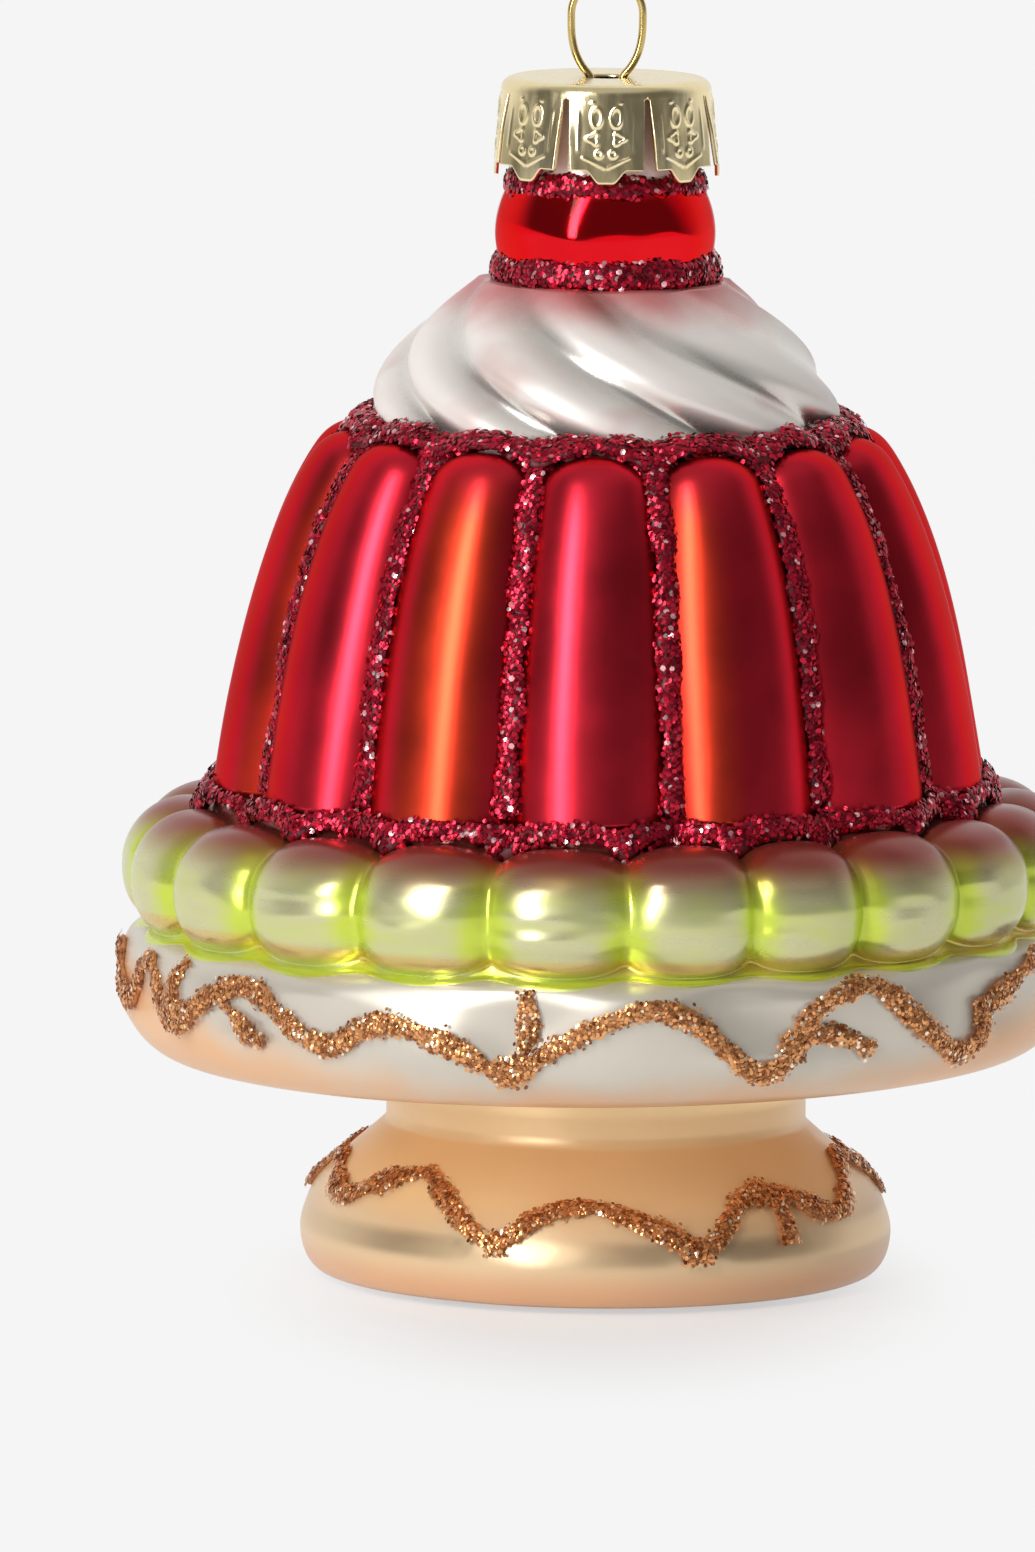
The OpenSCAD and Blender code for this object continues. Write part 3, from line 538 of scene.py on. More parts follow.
def glitter_mesh(name, beads, flake_r, seed):
    """Beads of glue strewn with flakes. Each bead is (path, facing, width, height, bend, closed). Flakes
    lie evenly over its outer half, each a golden section of the way round from the one before, and a few
    just beside it. The tone of a point is its flake's own number from 0 to 1, or -1 on the glue."""
    rng = np.random.default_rng(seed)
    points, corners, starts, tones, smooth = [], [], [], [], []

    def take(new_points, new_corners, sides, tone, is_smooth):
        starts.append(sum(map(len, corners)) + np.arange(0, len(new_corners), sides))
        corners.append(new_corners + sum(map(len, points)))
        points.append(new_points)
        tones.append(tone)
        smooth.append(np.full(len(starts[-1]), is_smooth))

    for path, facing, width, height, bend, closed in beads:
        tube, side, up = bead_tube(path, facing, 0.9 * width, 0.9 * height, bend, closed)
        quads = grid_quads(tube.shape[0], tube.shape[1], wrap_rows=closed)[:, ::-1]
        take(tube.reshape(-1, 3), quads.ravel(), 4, np.full(tube[..., 0].size, -1.0), True)
        step = np.linalg.norm(np.diff(path, axis=0, append=path[:1] if closed else path[-1:]), axis=1)
        area = step * (0.8 * width + 0.6 * height)
        count = int(FLAKE_COVER * area.sum() / (2.6 * flake_r ** 2))
        run = np.append(0.0, np.cumsum(area)) / area.sum()
        place = np.interp((np.arange(count) + rng.uniform(0, 1, count)) / count, run, np.arange(len(run)))
        at = np.minimum(place.astype(int), len(path) - 1)
        nxt = (at + 1) % len(path) if closed else np.minimum(at + 1, len(path) - 1)
        t = np.arccos(2.0 * ((np.arange(count) * GOLDEN + rng.uniform(0, 0.12, count)) % 1.0) - 1.0)
        centre = path[at] + (path[nxt] - path[at]) * (place - at)[:, None]
        across = np.cos(t) * (width[at] / 2 + 0.16 * np.abs(rng.normal(size=count)))
        off = np.sin(t) * height[at] - across ** 2 / (2 * bend) + rng.uniform(0.0, 0.08, count)
        spots = centre + side[at] * across[:, None] + up[at] * off[:, None]
        facing_out = unit(side[at] * np.cos(t)[:, None] * 0.5 + up[at] * (np.sin(t) + 0.35)[:, None])
        plates = flake_plates(spots, facing_out, flake_r, rng)
        faces = FLAKE_CORNERS + 8 * np.arange(count)[:, None]
        take(plates.reshape(-1, 3), faces.ravel(), 3, np.repeat(rng.uniform(0, 1, count), 8), False)
    return put_mesh(name, np.concatenate(points), np.concatenate(corners), np.concatenate(starts),
                    {"tone": np.concatenate(tones)}, smooth=np.concatenate(smooth))


def uneven(count, seed, amount):
    """Hand-laid unevenness of a bead along its length: noise averaged over a few steps, about 1."""
    rng = np.random.default_rng(seed)
    noise = rng.normal(size=count)
    return 1.0 + amount * np.mean([np.roll(noise, j) for j in range(-4, 5)], axis=0) * 3.0


def scroll_beads(line, spurs, blobs, place, width, height, blob_r, seed):
    """The beads of one copper scroll: the closed line, its spurs, and blobs where the nozzle rested."""
    def lay(a, z, closed, w, k):
        r, tilt = place(a, z)
        facing = polar(np.cos(tilt), a, np.sin(tilt))
        path = polar(r + 0.2, a, z)
        shape = uneven(len(a), seed + k, 0.18)
        return path, facing, w * shape, height * shape, PLATE_R, closed

    beads = [lay(line[0], line[1], True, width, 0)]
    beads += [lay(*open_path(spur), False, width * 0.85, k + 1) for k, spur in enumerate(spurs)]
    for k, (a, z) in enumerate(blobs):
        ahead = np.linspace(-0.5, 0.5, 9)
        beads.append(lay(np.full(9, a), z + ahead * blob_r * 1.6, False, blob_r * 1.9, 40 + k))
    return beads


def groove_bead(k):
    """The red bead down groove k. At the top it spreads to fill the room between two arches."""
    h = np.sin(np.radians(np.linspace(1, 86, 120)))
    a = GROOVE_ANGLE + 360.0 * k / FLUTES
    r, z = jelly_place(h, 1.0)
    slope = np.arctan2(-np.gradient(r), np.gradient(z))
    facing = polar(np.cos(slope), a, np.sin(slope))
    shape = uneven(len(h), 100 + k, 0.2)
    width = 1.75 * shape + 2 * np.pi * r / FLUTES * (1.0 - flute_width(h)) + 0.8 * ease((0.08 - h) / 0.08)
    shift = 0.5 * (uneven(len(h), 200 + k, 0.5) - 1.0)
    path = polar(r + 0.75 * np.cos(slope), a + shift, z + 0.75 * np.sin(slope))
    return [(path, facing, np.minimum(width, 8.0), 0.45 * shape, 24.0, False)]


def ring_bead(a, r, z, rise, width, height, seed):
    """A closed bead round the axis, facing outwards and up by rise degrees."""
    rise = math.radians(rise)
    shape = uneven(len(a), seed, 0.16)
    facing = polar(math.cos(rise), a, math.sin(rise))
    return [(polar(r, a, z), facing, width * shape, height * shape, FLAT_BEND, True)]


# Cap and wire
def cap_mesh(name):
    """Stamped crown cap, one wedge for each petal over a grid of (along, across), welded where wedges meet.
    Along runs from the hole over the flat top and the rounded edge down the flared petal; across runs
    between two slits, which start under the edge. A petal flattens downwards and ends in a tongue. Its
    stamped marks are raised rims, bell curves of the distance to drops, triangles, rings and a chevron."""
    edge = 1.05
    skirt_z = CAP_TOP - CAP_H
    top = np.linspace(CAP_HOLE_R, CAP_R - edge, 9)
    bend = np.radians(np.linspace(90, 0, 9))[1:]
    down = np.linspace(0, 1, 62)[1:]
    r = np.concatenate([top, CAP_R - edge + edge * np.cos(bend),
                        CAP_R + (CAP_SKIRT_R - CAP_R) * down])[:, None]
    z = np.concatenate([np.full(9, CAP_TOP), CAP_TOP - edge + edge * np.sin(bend),
                        CAP_TOP - edge + (skirt_z - CAP_TOP + edge) * down])[:, None]
    fall = np.concatenate([np.zeros(17), down])[:, None]
    u = np.linspace(-1, 1, 57)[None, :]
    slit = np.where(fall > 0.0, SLIT_W * (0.2 + 0.4 * fall), 0.0)
    half = math.pi / PETALS - slit / r
    x = u * half * r
    z = z - TONGUE_H * ease((1.7 - np.abs(x)) / 1.2) * fall ** 6
    y = z - skirt_z

    def rim(distance, width=0.09):
        return np.exp(-(distance / width) ** 2)

    lift = np.zeros_like(x)
    for side in (-1, 1):
        out = side * x
        drop = np.hypot((out - 0.78) / 0.42, (y - 4.2) / (0.66 + 0.12 * out)) - 1.0
        lift += rim(0.5 * drop)
        turn = np.arctan2(y - 2.55, out - 1.02)
        lift += rim(np.hypot(out - 1.02, y - 2.55) * (1.0 - 0.28 * np.cos(3 * turn)) - 0.38)
        lift += rim(np.hypot(out - 0.56, y - 1.35) - 0.27)
        lift += 0.7 * rim(y - 0.2 - 0.45 * out) * (out > 0) * (out < 1.9)
        lift += 0.5 * rim(out - 2.25) * ease((y - 1.2) / 0.6) * ease((4.9 - y) / 0.6)
        lift += 0.8 * rim(np.hypot(out - 1.1, y - 5.4), 0.16)
    lift = 0.1 * lift * ease(fall / 0.06)
    flat = 0.7 * ease(fall / 0.6) * (math.cos(0.55 * math.pi / PETALS) / np.cos(u * half) - 1.0)
    rng = np.random.default_rng(8)
    points = []
    for k in range(PETALS):
        lean = (rng.uniform(-0.1, 0.14) + rng.uniform(-0.1, 0.1) * u) * fall ** 2
        points.append(polar(r * (1.0 + flat) + lift + lean, 360.0 / PETALS * k + np.degrees(u * half), z))
    rows, columns = points[0].shape[:2]
    quads = grid_quads(rows, columns, wrap_columns=False)[:, ::-1]
    corners = np.concatenate([quads.ravel() + k * rows * columns for k in range(PETALS)])
    return put_mesh(name, np.concatenate([p.reshape(-1, 3) for p in points]), corners,
                    np.arange(0, corners.size, 4), weld=True)


def wire_mesh(name):
    """Sprung wire: a half circle over a waisted loop, both wires through the cap's hole, then legs that
    spread in the neck and turn in at their ends. A round section is carried along the path."""
    widest = CAP_TOP + LOOP_H
    t = np.radians(np.linspace(90, 0, 40))
    s = np.linspace(0, 1, 50)[1:]
    reach = NECK_BORE_R - 0.3 - WIRE_R
    leg = np.linspace(0, 1, 40)[1:]
    x = np.concatenate([LOOP_HALF * np.cos(t),
                        WIRE_HALF_GAP + (LOOP_HALF - WIRE_HALF_GAP) * shoulder(s, 3, 0.9),
                        WIRE_HALF_GAP + (reach - WIRE_HALF_GAP) * (1 - np.cos(np.pi / 2 * leg)),
                        reach - 0.1 * LEG_L * leg[::4]])
    z = np.concatenate([widest + LOOP_HALF * np.sin(t), widest - LOOP_H * s, CAP_TOP - 0.8 * LEG_L * leg,
                        CAP_TOP - 0.8 * LEG_L - 0.2 * LEG_L * leg[::4]])
    for _ in range(6):
        x[1:-1], z[1:-1] = (x[:-2] + 2 * x[1:-1] + x[2:]) / 4, (z[:-2] + 2 * z[1:-1] + z[2:]) / 4
    x, z = np.concatenate([x[::-1], -x[1:]]), np.concatenate([z[::-1], z[1:]])
    along = unit(np.column_stack([np.gradient(x), np.gradient(z)]))
    end = np.minimum(np.arange(len(x)), np.arange(len(x))[::-1]) / 2.0
    radius = WIRE_R * np.where(end < 1, np.sqrt(np.maximum(end * (2 - end), 1e-6)), 1.0)
    t = np.radians(np.arange(24) * 15.0)
    out = radius[:, None] * np.cos(t)
    points = np.stack([x[:, None] + out * along[:, 1:], radius[:, None] * np.sin(t),
                       z[:, None] - out * along[:, :1]], -1)
    return grid_mesh(name, points, weld=True)


# Materials, with lengths in metres but for per_mm
def linear(colour):
    """An sRGB hex colour as linear red, green, blue and alpha."""
    parts = [int(colour[i:i + 2], 16) / 255.0 for i in (1, 3, 5)]
    return [c / 12.92 if c <= 0.04045 else ((c + 0.055) / 1.055) ** 2.4 for c in parts] + [1.0]


def add_node(tree, kind, *values, **sockets):
    """Adds a node and gives its output, the first in use unless kind says which. kind is the node's type
    after ShaderNode, or that, its properties and maybe an output. values go to its inputs in use, in order,
    and sockets by an input's name, with _ for spaces. Each is a link, a number or a hex colour."""
    name, settings, *output = kind if isinstance(kind, tuple) else (kind, {})
    made = tree.nodes.new("ShaderNode" + name)
    for key, value in settings.items():
        setattr(made, key, value)
    pairs = list(zip((socket for socket in made.inputs if socket.enabled), values))
    pairs += [(made.inputs[key.replace("_", " ")], value) for key, value in sockets.items()]
    for socket, value in pairs:
        if isinstance(value, bpy.types.NodeSocket):
            tree.links.new(value, socket)
        else:
            socket.default_value = linear(value) if isinstance(value, str) else value
    return made.outputs[output[0]] if output else next((s for s in made.outputs if s.enabled), None)


def new_material(name, finish, *colours):
    """A material whose surface a finish makes from a way to add nodes and the Object coordinates."""
    material = bpy.data.materials.new(name)
    material.use_nodes = True
    material.node_tree.nodes.clear()
    add = functools.partial(add_node, material.node_tree)
    where = add(("TexCoord", {}, "Object"))
    add("OutputMaterial", Surface=finish(add, where, *colours))
    return material


def per_mm(size):
    """Texture scale for features of a size in millimetres on metre coordinates."""
    return 1.0 / (size * MM)


# Kinds of node, as type and properties
MIX = ("Mix", {"data_type": "RGBA"})
SHADE = ("Mix", {"data_type": "RGBA", "blend_type": "MULTIPLY"})
SMOOTH = ("MapRange", {"interpolation_type": "SMOOTHSTEP"})
LESS, OFF, SPAN, MOST, TIMES, POWER, BELOW = (("Math", {"operation": name}) for name in (
    "SUBTRACT", "ABSOLUTE", "MULTIPLY_ADD", "MAXIMUM", "MULTIPLY", "POWER", "LESS_THAN"))
CLOUDY = 0.3, 0.7  # between these lies most of a noise


def jelly_lacquer(add, where):
    """Tinted satin lacquer over silvering, applied by spray: crimson and scarlet flutes by turns, the
    scarlet kept to where the highlight falls as a painted highlight. The eye sees a red metal with soft
    streaks that stays red at its edges, deeper where the lacquer has pooled."""
    scarlet, groove = (add(("Attribute", {"attribute_name": key}, "Fac")) for key in ("scarlet", "groove"))
    cloud = add("TexNoise", where, Scale=per_mm(9), Detail=3.0)
    # The scarlet here is partly two-tone paint and partly painted highlight: it lies only where the flutes'
    # highlight falls.
    colour = add(MIX, scarlet, "#EA2A3E", "#F44426")
    deep = add("MapRange", groove, 0.25, 0.9, 0.0, 0.75)
    colour = add(MIX, deep, colour, "#C00A20")
    thin = add("MapRange", cloud, *CLOUDY, 0.76, 1.0)
    colour = add(SHADE, 1.0, colour, thin)
    rough = add("MapRange", cloud, *CLOUDY, 0.28, 0.36)
    peel = add("TexNoise", where, Scale=per_mm(1.6))
    bump = add("Bump", Strength=0.05, Distance=0.0002, Height=peel)
    return add("BsdfPrincipled", Base_Color=colour, Metallic=1.0, Roughness=rough, Normal=bump,
               Specular_Tint="#E02040", Coat_Weight=0.16, Coat_Roughness=0.36)


def cherry_lacquer(add, where):
    """Tinted gloss lacquer over silvering: a mirror-bright red with sharp lights and dark reflections."""
    cloud = add("TexNoise", where, Scale=per_mm(5))
    colour = add(MIX, cloud, "#E60818", "#F21620")
    rough = add("MapRange", cloud, *CLOUDY, 0.08, 0.15)
    wave = add("TexNoise", where, Scale=per_mm(4.5), Detail=0.0)
    bump = add("Bump", Strength=0.7, Distance=0.0006, Height=wave)
    return add("BsdfPrincipled", Base_Color=colour, Metallic=1.0, Roughness=rough, Normal=bump,
               Specular_Tint="#E00818", Coat_Weight=0.15, Coat_Roughness=0.06)


def cream_lacquer(add, where):
    """Pearl lacquer over silvering, a thin satin spray: a silvery white, whiter on the ridges where
    the pearl lies thick, greyer and brighter in the furrows, with pink stains and a red mist at its top."""
    furrow = add(("Attribute", {"attribute_name": "furrow"}, "Fac"))
    cloud = add("TexNoise", where, Scale=per_mm(4), Detail=4.0)
    colour = add(MIX, furrow, "#F0E8E2", "#E4DED6")
    height = add(("SeparateXYZ", {}, "Z"), where)
    drift = add(SPAN, cloud, 0.002, height)
    mist = add(SMOOTH, drift, 0.0772, 0.0812, 0.0, 0.85)
    colour = add(MIX, mist, colour, "#C04A4E")
    stain = add("TexNoise", where, Scale=per_mm(7))
    stain = add(SMOOTH, stain, 0.5, 0.72, 0.0, 0.45)
    colour = add(MIX, stain, colour, "#D0A6A0")
    rough = add("MapRange", furrow, 0.0, 1.0, 0.46, 0.24)
    metal = add("MapRange", furrow, 0.0, 1.0, 0.26, 0.85)
    grain = add("TexNoise", where, Scale=per_mm(0.8), Detail=3.0)
    bump = add("Bump", Strength=0.06, Distance=0.0002, Height=grain)
    return add("BsdfPrincipled", Base_Color=colour, Metallic=metal, Roughness=rough, Normal=bump,
               Coat_Weight=0.15, Coat_Roughness=0.4)


def berry_lacquer(add, where):
    """Lime lacquer over silvering, brushed on: pale and silvery on the bulges, bright lime where it has run
    together between the berries and under them. The dark wine red over their tops is a painted reflection
    of the red jelly, and the peach band at their lower edges a painted reflection of the peach plate."""
    pool, edge = (add(("Attribute", {"attribute_name": key}, "Fac")) for key in ("pool", "edge"))
    level = add("Mapping", where, Scale=(0.8, 0.8, 2.4))
    cloud = add("TexNoise", level, Scale=per_mm(5), Detail=3.0)
    drift = add(("MapRange", {"clamp": False}), cloud, *CLOUDY, -0.2, 0.4)
    share = add(("Math", {"operation": "ADD", "use_clamp": True}), pool, drift)
    colour = add(MIX, share, "#D2D0A0", "#D0E050")
    height = add(("SeparateXYZ", {}, "Z"), where)
    # Painted reflection: a peach band round the berries' lower edges, near the plate's lip, stands for the
    # peach plate mirrored in them.
    off = add(OFF, add(LESS, height, 0.0296))
    warm = add(SMOOTH, off, 0.0002, 0.001, 0.7, 0.0)
    colour = add(MIX, warm, colour, "#DCB660")
    thin = add(SMOOTH, edge, 0.5, 1.0)
    colour = add(MIX, thin, colour, "#D6CFC0")
    # Painted reflection: the dark wine red over the berries' tops stands for the red jelly above them,
    # mirrored.
    mist = add(SMOOTH, height, 0.0342, 0.0378, 0.0, 0.95)
    colour = add(MIX, mist, colour, "#861F24")
    rough = add("MapRange", cloud, *CLOUDY, 0.25, 0.33)
    band = add("TexNoise", level, Scale=per_mm(4), Detail=0.0)
    bump = add("Bump", Strength=0.5, Distance=0.0008, Height=band)
    return add("BsdfPrincipled", Base_Color=colour, Metallic=0.6, Roughness=rough, Normal=bump,
               Coat_Weight=0.15, Coat_Roughness=0.22)


def stand_lacquer(add, where):
    """Pearl and peach lacquer over silvering, one spray run into the other: the rim is a satin silver white
    that turns peach round its lower edge and at its sides; the stem and foot are peach. The pale belly is
    partly a painted highlight, and the paler peach from the upper foot to the plate is lightened as painted
    light against the plate's shadow. The silver shows through in a band under the plate and one round the
    belly."""
    across, height = (add(("SeparateXYZ", {}, axis), where) for axis in "XZ")
    cloud = add("TexNoise", where, Scale=per_mm(7), Detail=3.0)
    colour = "#E6B48A"
    # Painted light: the pale band round the belly is partly a painted highlight, and the paler peach from
    # the upper foot up to the plate is lightened against the plate's shadow.
    for low, high, tone in ((0.0015, 0.004, "#E8CAA0"), (0.0055, 0.009, "#FFDCA6"),
                            (0.0165, 0.0185, "#F2BC8A")):
        share = add(SMOOTH, height, low, high)
        colour = add(MIX, share, colour, tone)
    side = add(POWER, across, 4.0)
    drift = add(SPAN, side, -3200.0, height)
    drift = add(SPAN, cloud, 0.004, drift)
    rim = add(SMOOTH, drift, 0.0192, 0.0238)
    colour = add(MIX, rim, colour, "#D8D0C2")
    spots = add("MapRange", cloud, *CLOUDY, 0.95, 1.0)
    colour = add(SHADE, 1.0, colour, spots)
    rough = add("MapRange", cloud, *CLOUDY, 0.32, 0.42)
    metal = add("MapRange", rim, 0.0, 1.0, 0.25, 0.5)
    for middle in (0.0048, 0.0158):
        off = add(OFF, add(LESS, height, middle))
        bare = add(SMOOTH, off, 0.0004, 0.0018, 0.8, 0.0)
        metal = add(MOST, metal, bare)
    bump = add("Bump", Strength=0.12, Distance=0.0006, Height=cloud)
    return add("BsdfPrincipled", Base_Color=colour, Metallic=metal, Roughness=rough, Normal=bump,
               Coat_Weight=0.3, Coat_Roughness=0.38)


def flake_glitter(add, where, glue, dark, light, bright):
    """Cut polyester flakes with a metal film in clear glue: each flake is a small mirror of its own tone,
    most of them dark, and the glue between them is a dull stain of their colour. The few flakes of highest
    tone are given a near-white colour as a painted glint."""
    tone = add(("Attribute", {"attribute_name": "tone"}, "Fac"))
    share = add("MapRange", tone, 0.0, 0.8)
    colour = add(MIX, share, dark, light)
    # Painted glint: the few flakes with the highest tone take the near-white bright colour.
    painted_glint = add("MapRange", tone, 0.94, 0.96)
    colour = add(MIX, painted_glint, colour, bright)
    loose = add(BELOW, tone, -0.5)
    colour = add(MIX, loose, colour, glue)
    metal = add("MapRange", loose, 0.0, 1.0, 0.75, 0.0)
    rough = add("MapRange", loose, 0.0, 1.0, 0.25, 0.5)
    fine = add("TexNoise", where, Scale=per_mm(0.3))
    bump = add("Bump", Strength=0.1, Distance=0.0001, Height=fine)
    return add("BsdfPrincipled", Base_Color=colour, Metallic=metal, Roughness=rough, Normal=bump)


def cap_tinplate(add, where):
    """Gold-lacquered tinplate, stamped: a pale champagne mirror with drawing marks and fine scratches."""
    stretched = add("Mapping", where, Scale=(1.0, 1.0, 0.12))
    marks = add("TexNoise", stretched, Scale=per_mm(0.5), Detail=4.0)
    cloud = add("TexNoise", where, Scale=per_mm(3))
    colour = add(MIX, cloud, "#FAE2A2", "#FFF2CC")
    rough = add("MapRange", marks, 0.35, 0.7, 0.17, 0.29)
    bump = add("Bump", Strength=0.05, Distance=0.0002, Height=marks)
    return add("BsdfPrincipled", Base_Color=colour, Metallic=1.0, Roughness=rough, Normal=bump)


def brass_wire(add, where):
    """Drawn brass wire: a warm gold with faint lines along it and a dulled surface."""
    cloud = add("TexNoise", where, Scale=per_mm(1.2), Detail=4.0)
    colour = add(MIX, cloud, "#C8A860", "#E2CB8C")
    rough = add("MapRange", cloud, *CLOUDY, 0.16, 0.28)
    bump = add("Bump", Strength=0.03, Distance=0.0001, Height=cloud)
    return add("BsdfPrincipled", Base_Color=colour, Metallic=1.0, Roughness=rough, Normal=bump)


def silvered_glass(add, where):
    """Blown soda glass silvered inside: a clear gloss over a pale mirror, warm with a mist of lacquer. Its
    tones are lightened as painted light, so that the neck stays light in the cap's shadow.
    """
    cloud = add("TexNoise", where, Scale=per_mm(4), Detail=3.0)
    # Painted light: these pale tones are lighter than silvered glass, so that the neck stays light in the
    # cap's shadow.
    colour = add(MIX, cloud, "#F2D2C6", "#FAE6DC")
    rough = add("MapRange", cloud, *CLOUDY, 0.25, 0.35)
    bump = add("Bump", Strength=0.05, Distance=0.0004, Height=cloud)
    return add("BsdfPrincipled", Base_Color=colour, Metallic=0.15, Roughness=rough, Normal=bump,
               Coat_Weight=0.5, Coat_Roughness=0.05)


PALE = "#F5F5F5"


def studio_floor(add, where):
    """Matt pale paper. What the camera and mirrors see of it is its own plain tone, so that it runs into
    the backdrop, but near the ornament a part of it is lit and keeps the shadow."""
    grain = add("TexNoise", where, Scale=per_mm(40))
    colour = add(MIX, grain, PALE, "#F3F3F3")
    lit = add("BsdfDiffuse", Color=colour)
    plain = add("Emission", Color=PALE)
    seen = add(MOST, *(add(("LightPath", {}, "Is %s Ray" % eye)) for eye in ("Camera", "Glossy")))
    near = add("Mapping", where, Location=(0.0, 0.012, 0.0), Scale=(1.9, 1.0, 1.0))
    far = add(("VectorMath", {"operation": "LENGTH"}), near)
    share = add(SMOOTH, far, 0.02, 0.06, 0.55, 1.0)
    share = add(TIMES, seen, share)
    return add("MixShader", share, lit, plain)


# Coats by zone, points round, surface and the names of its values, material, finish and slot
COATS = (
    ("stand", 320, stand_surface, (), "pearl_peach_lacquer", stand_lacquer, "peach_lacquer"),
    ("berry", 616, berry_surface, ("pool", "edge"), "lime_green_lacquer", berry_lacquer, "green_lacquer"),
    ("jelly", 560, jelly_surface, ("scarlet", "groove"), "satin_red_lacquer", jelly_lacquer, "red_lacquer"),
    ("cream", 540, cream_surface, ("furrow",), "pearl_white_lacquer", cream_lacquer, "pearl_lacquer"),
    ("cherry", 160, cherry_surface, (), "gloss_red_lacquer", cherry_lacquer, "cherry_red_lacquer"),
)
for zone, count, surface, keys, material, finish, slot in COATS:
    turn = turn_angles(count)
    r, z, *values = surface(turn)
    mesh = coat_mesh(zone + "_coat", turn, r, z, dict(zip(keys, values)))
    put_piece(mesh, new_material(material, finish), "glass", slot, zone + "_lacquer")

turn = turn_angles(308)
r, z = glass_surface(turn)
shell = grid_mesh("glass_shell", polar(r, turn, z), weld=True)
put_piece(shell, new_material("silvered_glass", silvered_glass), "glass", "silvered_glass", "glass_body")

# Glitter: the rings, then the red beads by mesh, beads, seed and node, then the copper scrolls
turn = turn_angles(560)
dip = sunk(turn)
nick = np.abs(berry_across(turn)[2]) ** 5
jelly_foot = ring_bead(
    turn, r=31.5 - 1.9 * dip + 0.8 * nick, z=39.6 - 0.4 * dip - 1.2 * nick, rise=15.0,
    width=1.4 + 1.2 * dip ** 2 + 1.2 * nick, height=0.45 + 0.3 * dip, seed=21)
cream_foot = ring_bead(
    turn, r=19.6 + 0.3 * dip, z=JELLY_TOP - 0.25 - 1.0 * dip, rise=60.0, width=2.3 + 1.0 * dip,
    height=0.45, seed=23)
turn = turn_angles(240)
cherry_foot = ring_bead(turn, r=8.6, z=CREAM_TOP + 1.1, rise=12.0, width=2.1, height=0.5, seed=25)
collar = ring_bead(turn, r=7.5, z=CHERRY_TOP + 0.4, rise=20.0, width=1.7, height=0.45, seed=27)
RED_BEADS = [("groove_flakes_%d" % k, groove_bead(k), 300 + k, "groove_glitter_%d" % k)
             for k in range(1, FLUTES + 1)] + [
    ("jelly_foot_flakes", jelly_foot, 321, "jelly_glitter"),
    ("cream_foot_flakes", cream_foot, 323, "cream_glitter"),
    ("cherry_foot_flakes", cherry_foot, 325, "cherry_glitter"),
    ("collar_flakes", collar, 327, "collar_glitter"),
]
# The last colour of each glitter is the near-white painted glint of its brightest flakes.
red = new_material("red_glitter", flake_glitter, "#5E0616", "#7A0A1E", "#CE1E3A", "#FFC0C6")
for name, beads, seed, node in RED_BEADS:
    put_piece(glitter_mesh(name, beads, RED_FLAKE_R, seed), red, "glass", "red_glitter", node)

# Here too the last colour is the painted glint.
copper = new_material("copper_glitter", flake_glitter, "#BC7C4C", "#8E4E28", "#F0AC70", "#FFEBCF")
plate_beads = scroll_beads(plate_line, PLATE_SPURS, PLATE_BLOBS, rim_place,
                           width=1.7, height=0.4, blob_r=1.5, seed=500)
foot_beads = scroll_beads(foot_line, FOOT_SPURS, FOOT_BLOBS, foot_place,
                          width=1.6, height=0.4, blob_r=1.2, seed=600)
for node, beads, seed in (("plate_scroll", plate_beads, 501), ("foot_scroll", foot_beads, 601)):
    mesh = glitter_mesh(node + "_flakes", beads, COPPER_FLAKE_R, seed)
    put_piece(mesh, copper, "glass", "copper_glitter", node)

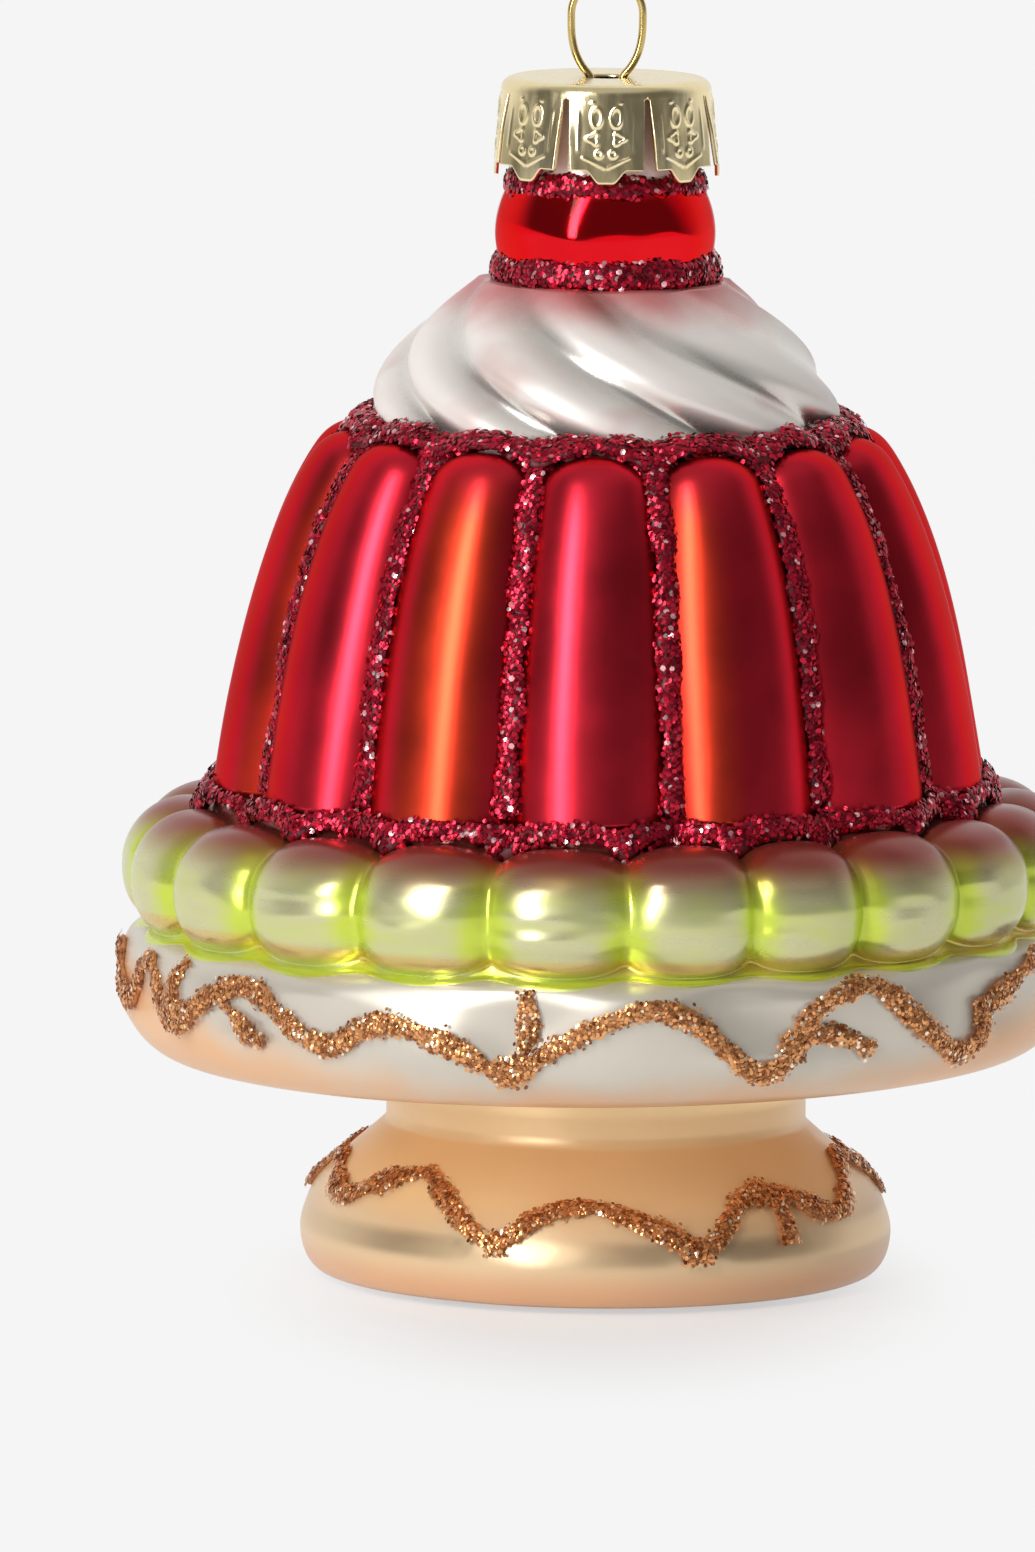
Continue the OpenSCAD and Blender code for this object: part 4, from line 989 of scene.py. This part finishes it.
tinplate = new_material("gold_lacquered_tinplate", cap_tinplate)
cap = put_piece(cap_mesh("crown_cap"), tinplate, "cap", "gold_tinplate", "cap")
sheet = cap.modifiers.new("sheet", "SOLIDIFY")
sheet.thickness = CAP_T * MM
sheet.offset = -1.0
brass = new_material("drawn_brass_wire", brass_wire)
put_piece(wire_mesh("hanger_loop"), brass, "hanger", "brass_wire", "hanger_wire")


# Studio
def put_floor():
    """A level sheet of paper, a hair under the foot, that reaches well in front of the ornament."""
    reach, front, low = 4000.0, -1200.0, -0.05
    points = np.array([(-reach, front, low), (reach, front, low),
                       (reach, reach, low), (-reach, reach, low)])
    mesh = put_mesh("floor", points, np.arange(4), np.array([0]))
    mesh.materials.append(new_material("pale_paper", studio_floor))
    floor = put_object("floor", mesh)


def put_softbox():
    """A tall softbox at the left that faces the ornament, in metres. Its power is pi times its area times
    the brightness of its face."""
    azimuth, rise, distance = math.radians(-34.0), math.radians(26.0), 0.95
    width, height, radiance = 0.2, 0.85, 14.5
    data = bpy.data.lights.new("softbox_left", "AREA")
    data.shape = "RECTANGLE"
    data.size, data.size_y = width, height
    data.energy = math.pi * width * height * radiance
    lamp = put_object("softbox_left", data)
    level = math.cos(rise)
    away = Vector((math.sin(azimuth) * level, -math.cos(azimuth) * level, math.sin(rise)))
    lamp.location = Vector((0.0, 0.0, 0.05)) + away * distance
    lamp.rotation_euler = away.to_track_quat("Z", "Y").to_euler()
    lamp.visible_camera = False


def set_backdrop():
    """Pale all round for the camera. For light and mirrors the room is pale behind the ornament, half as
    pale above it and dark on the camera's side, as a studio is."""
    world = bpy.data.worlds.new("studio")
    scene.world = world
    world.use_nodes = True
    world.node_tree.nodes.clear()
    add = functools.partial(add_node, world.node_tree)
    where = add(("TexCoord", {}, "Generated"))
    behind, above = (add(("SeparateXYZ", {}, axis), where) for axis in "YZ")
    dim = add(SMOOTH, behind, -0.15, 0.6, 0.14, 0.9)
    above = add(SMOOTH, above, 0.5, 0.95, 0.0, 0.5)
    dim = add(MOST, dim, above)
    room = add("Background", Color=PALE, Strength=dim)
    plain = add("Background", Color=PALE)
    seen = add(("LightPath", {}, "Is Camera Ray"))
    add("OutputWorld", Surface=add("MixShader", seen, room, plain))


put_floor()
put_softbox()
set_backdrop()
scene.view_settings.view_transform = "Standard"
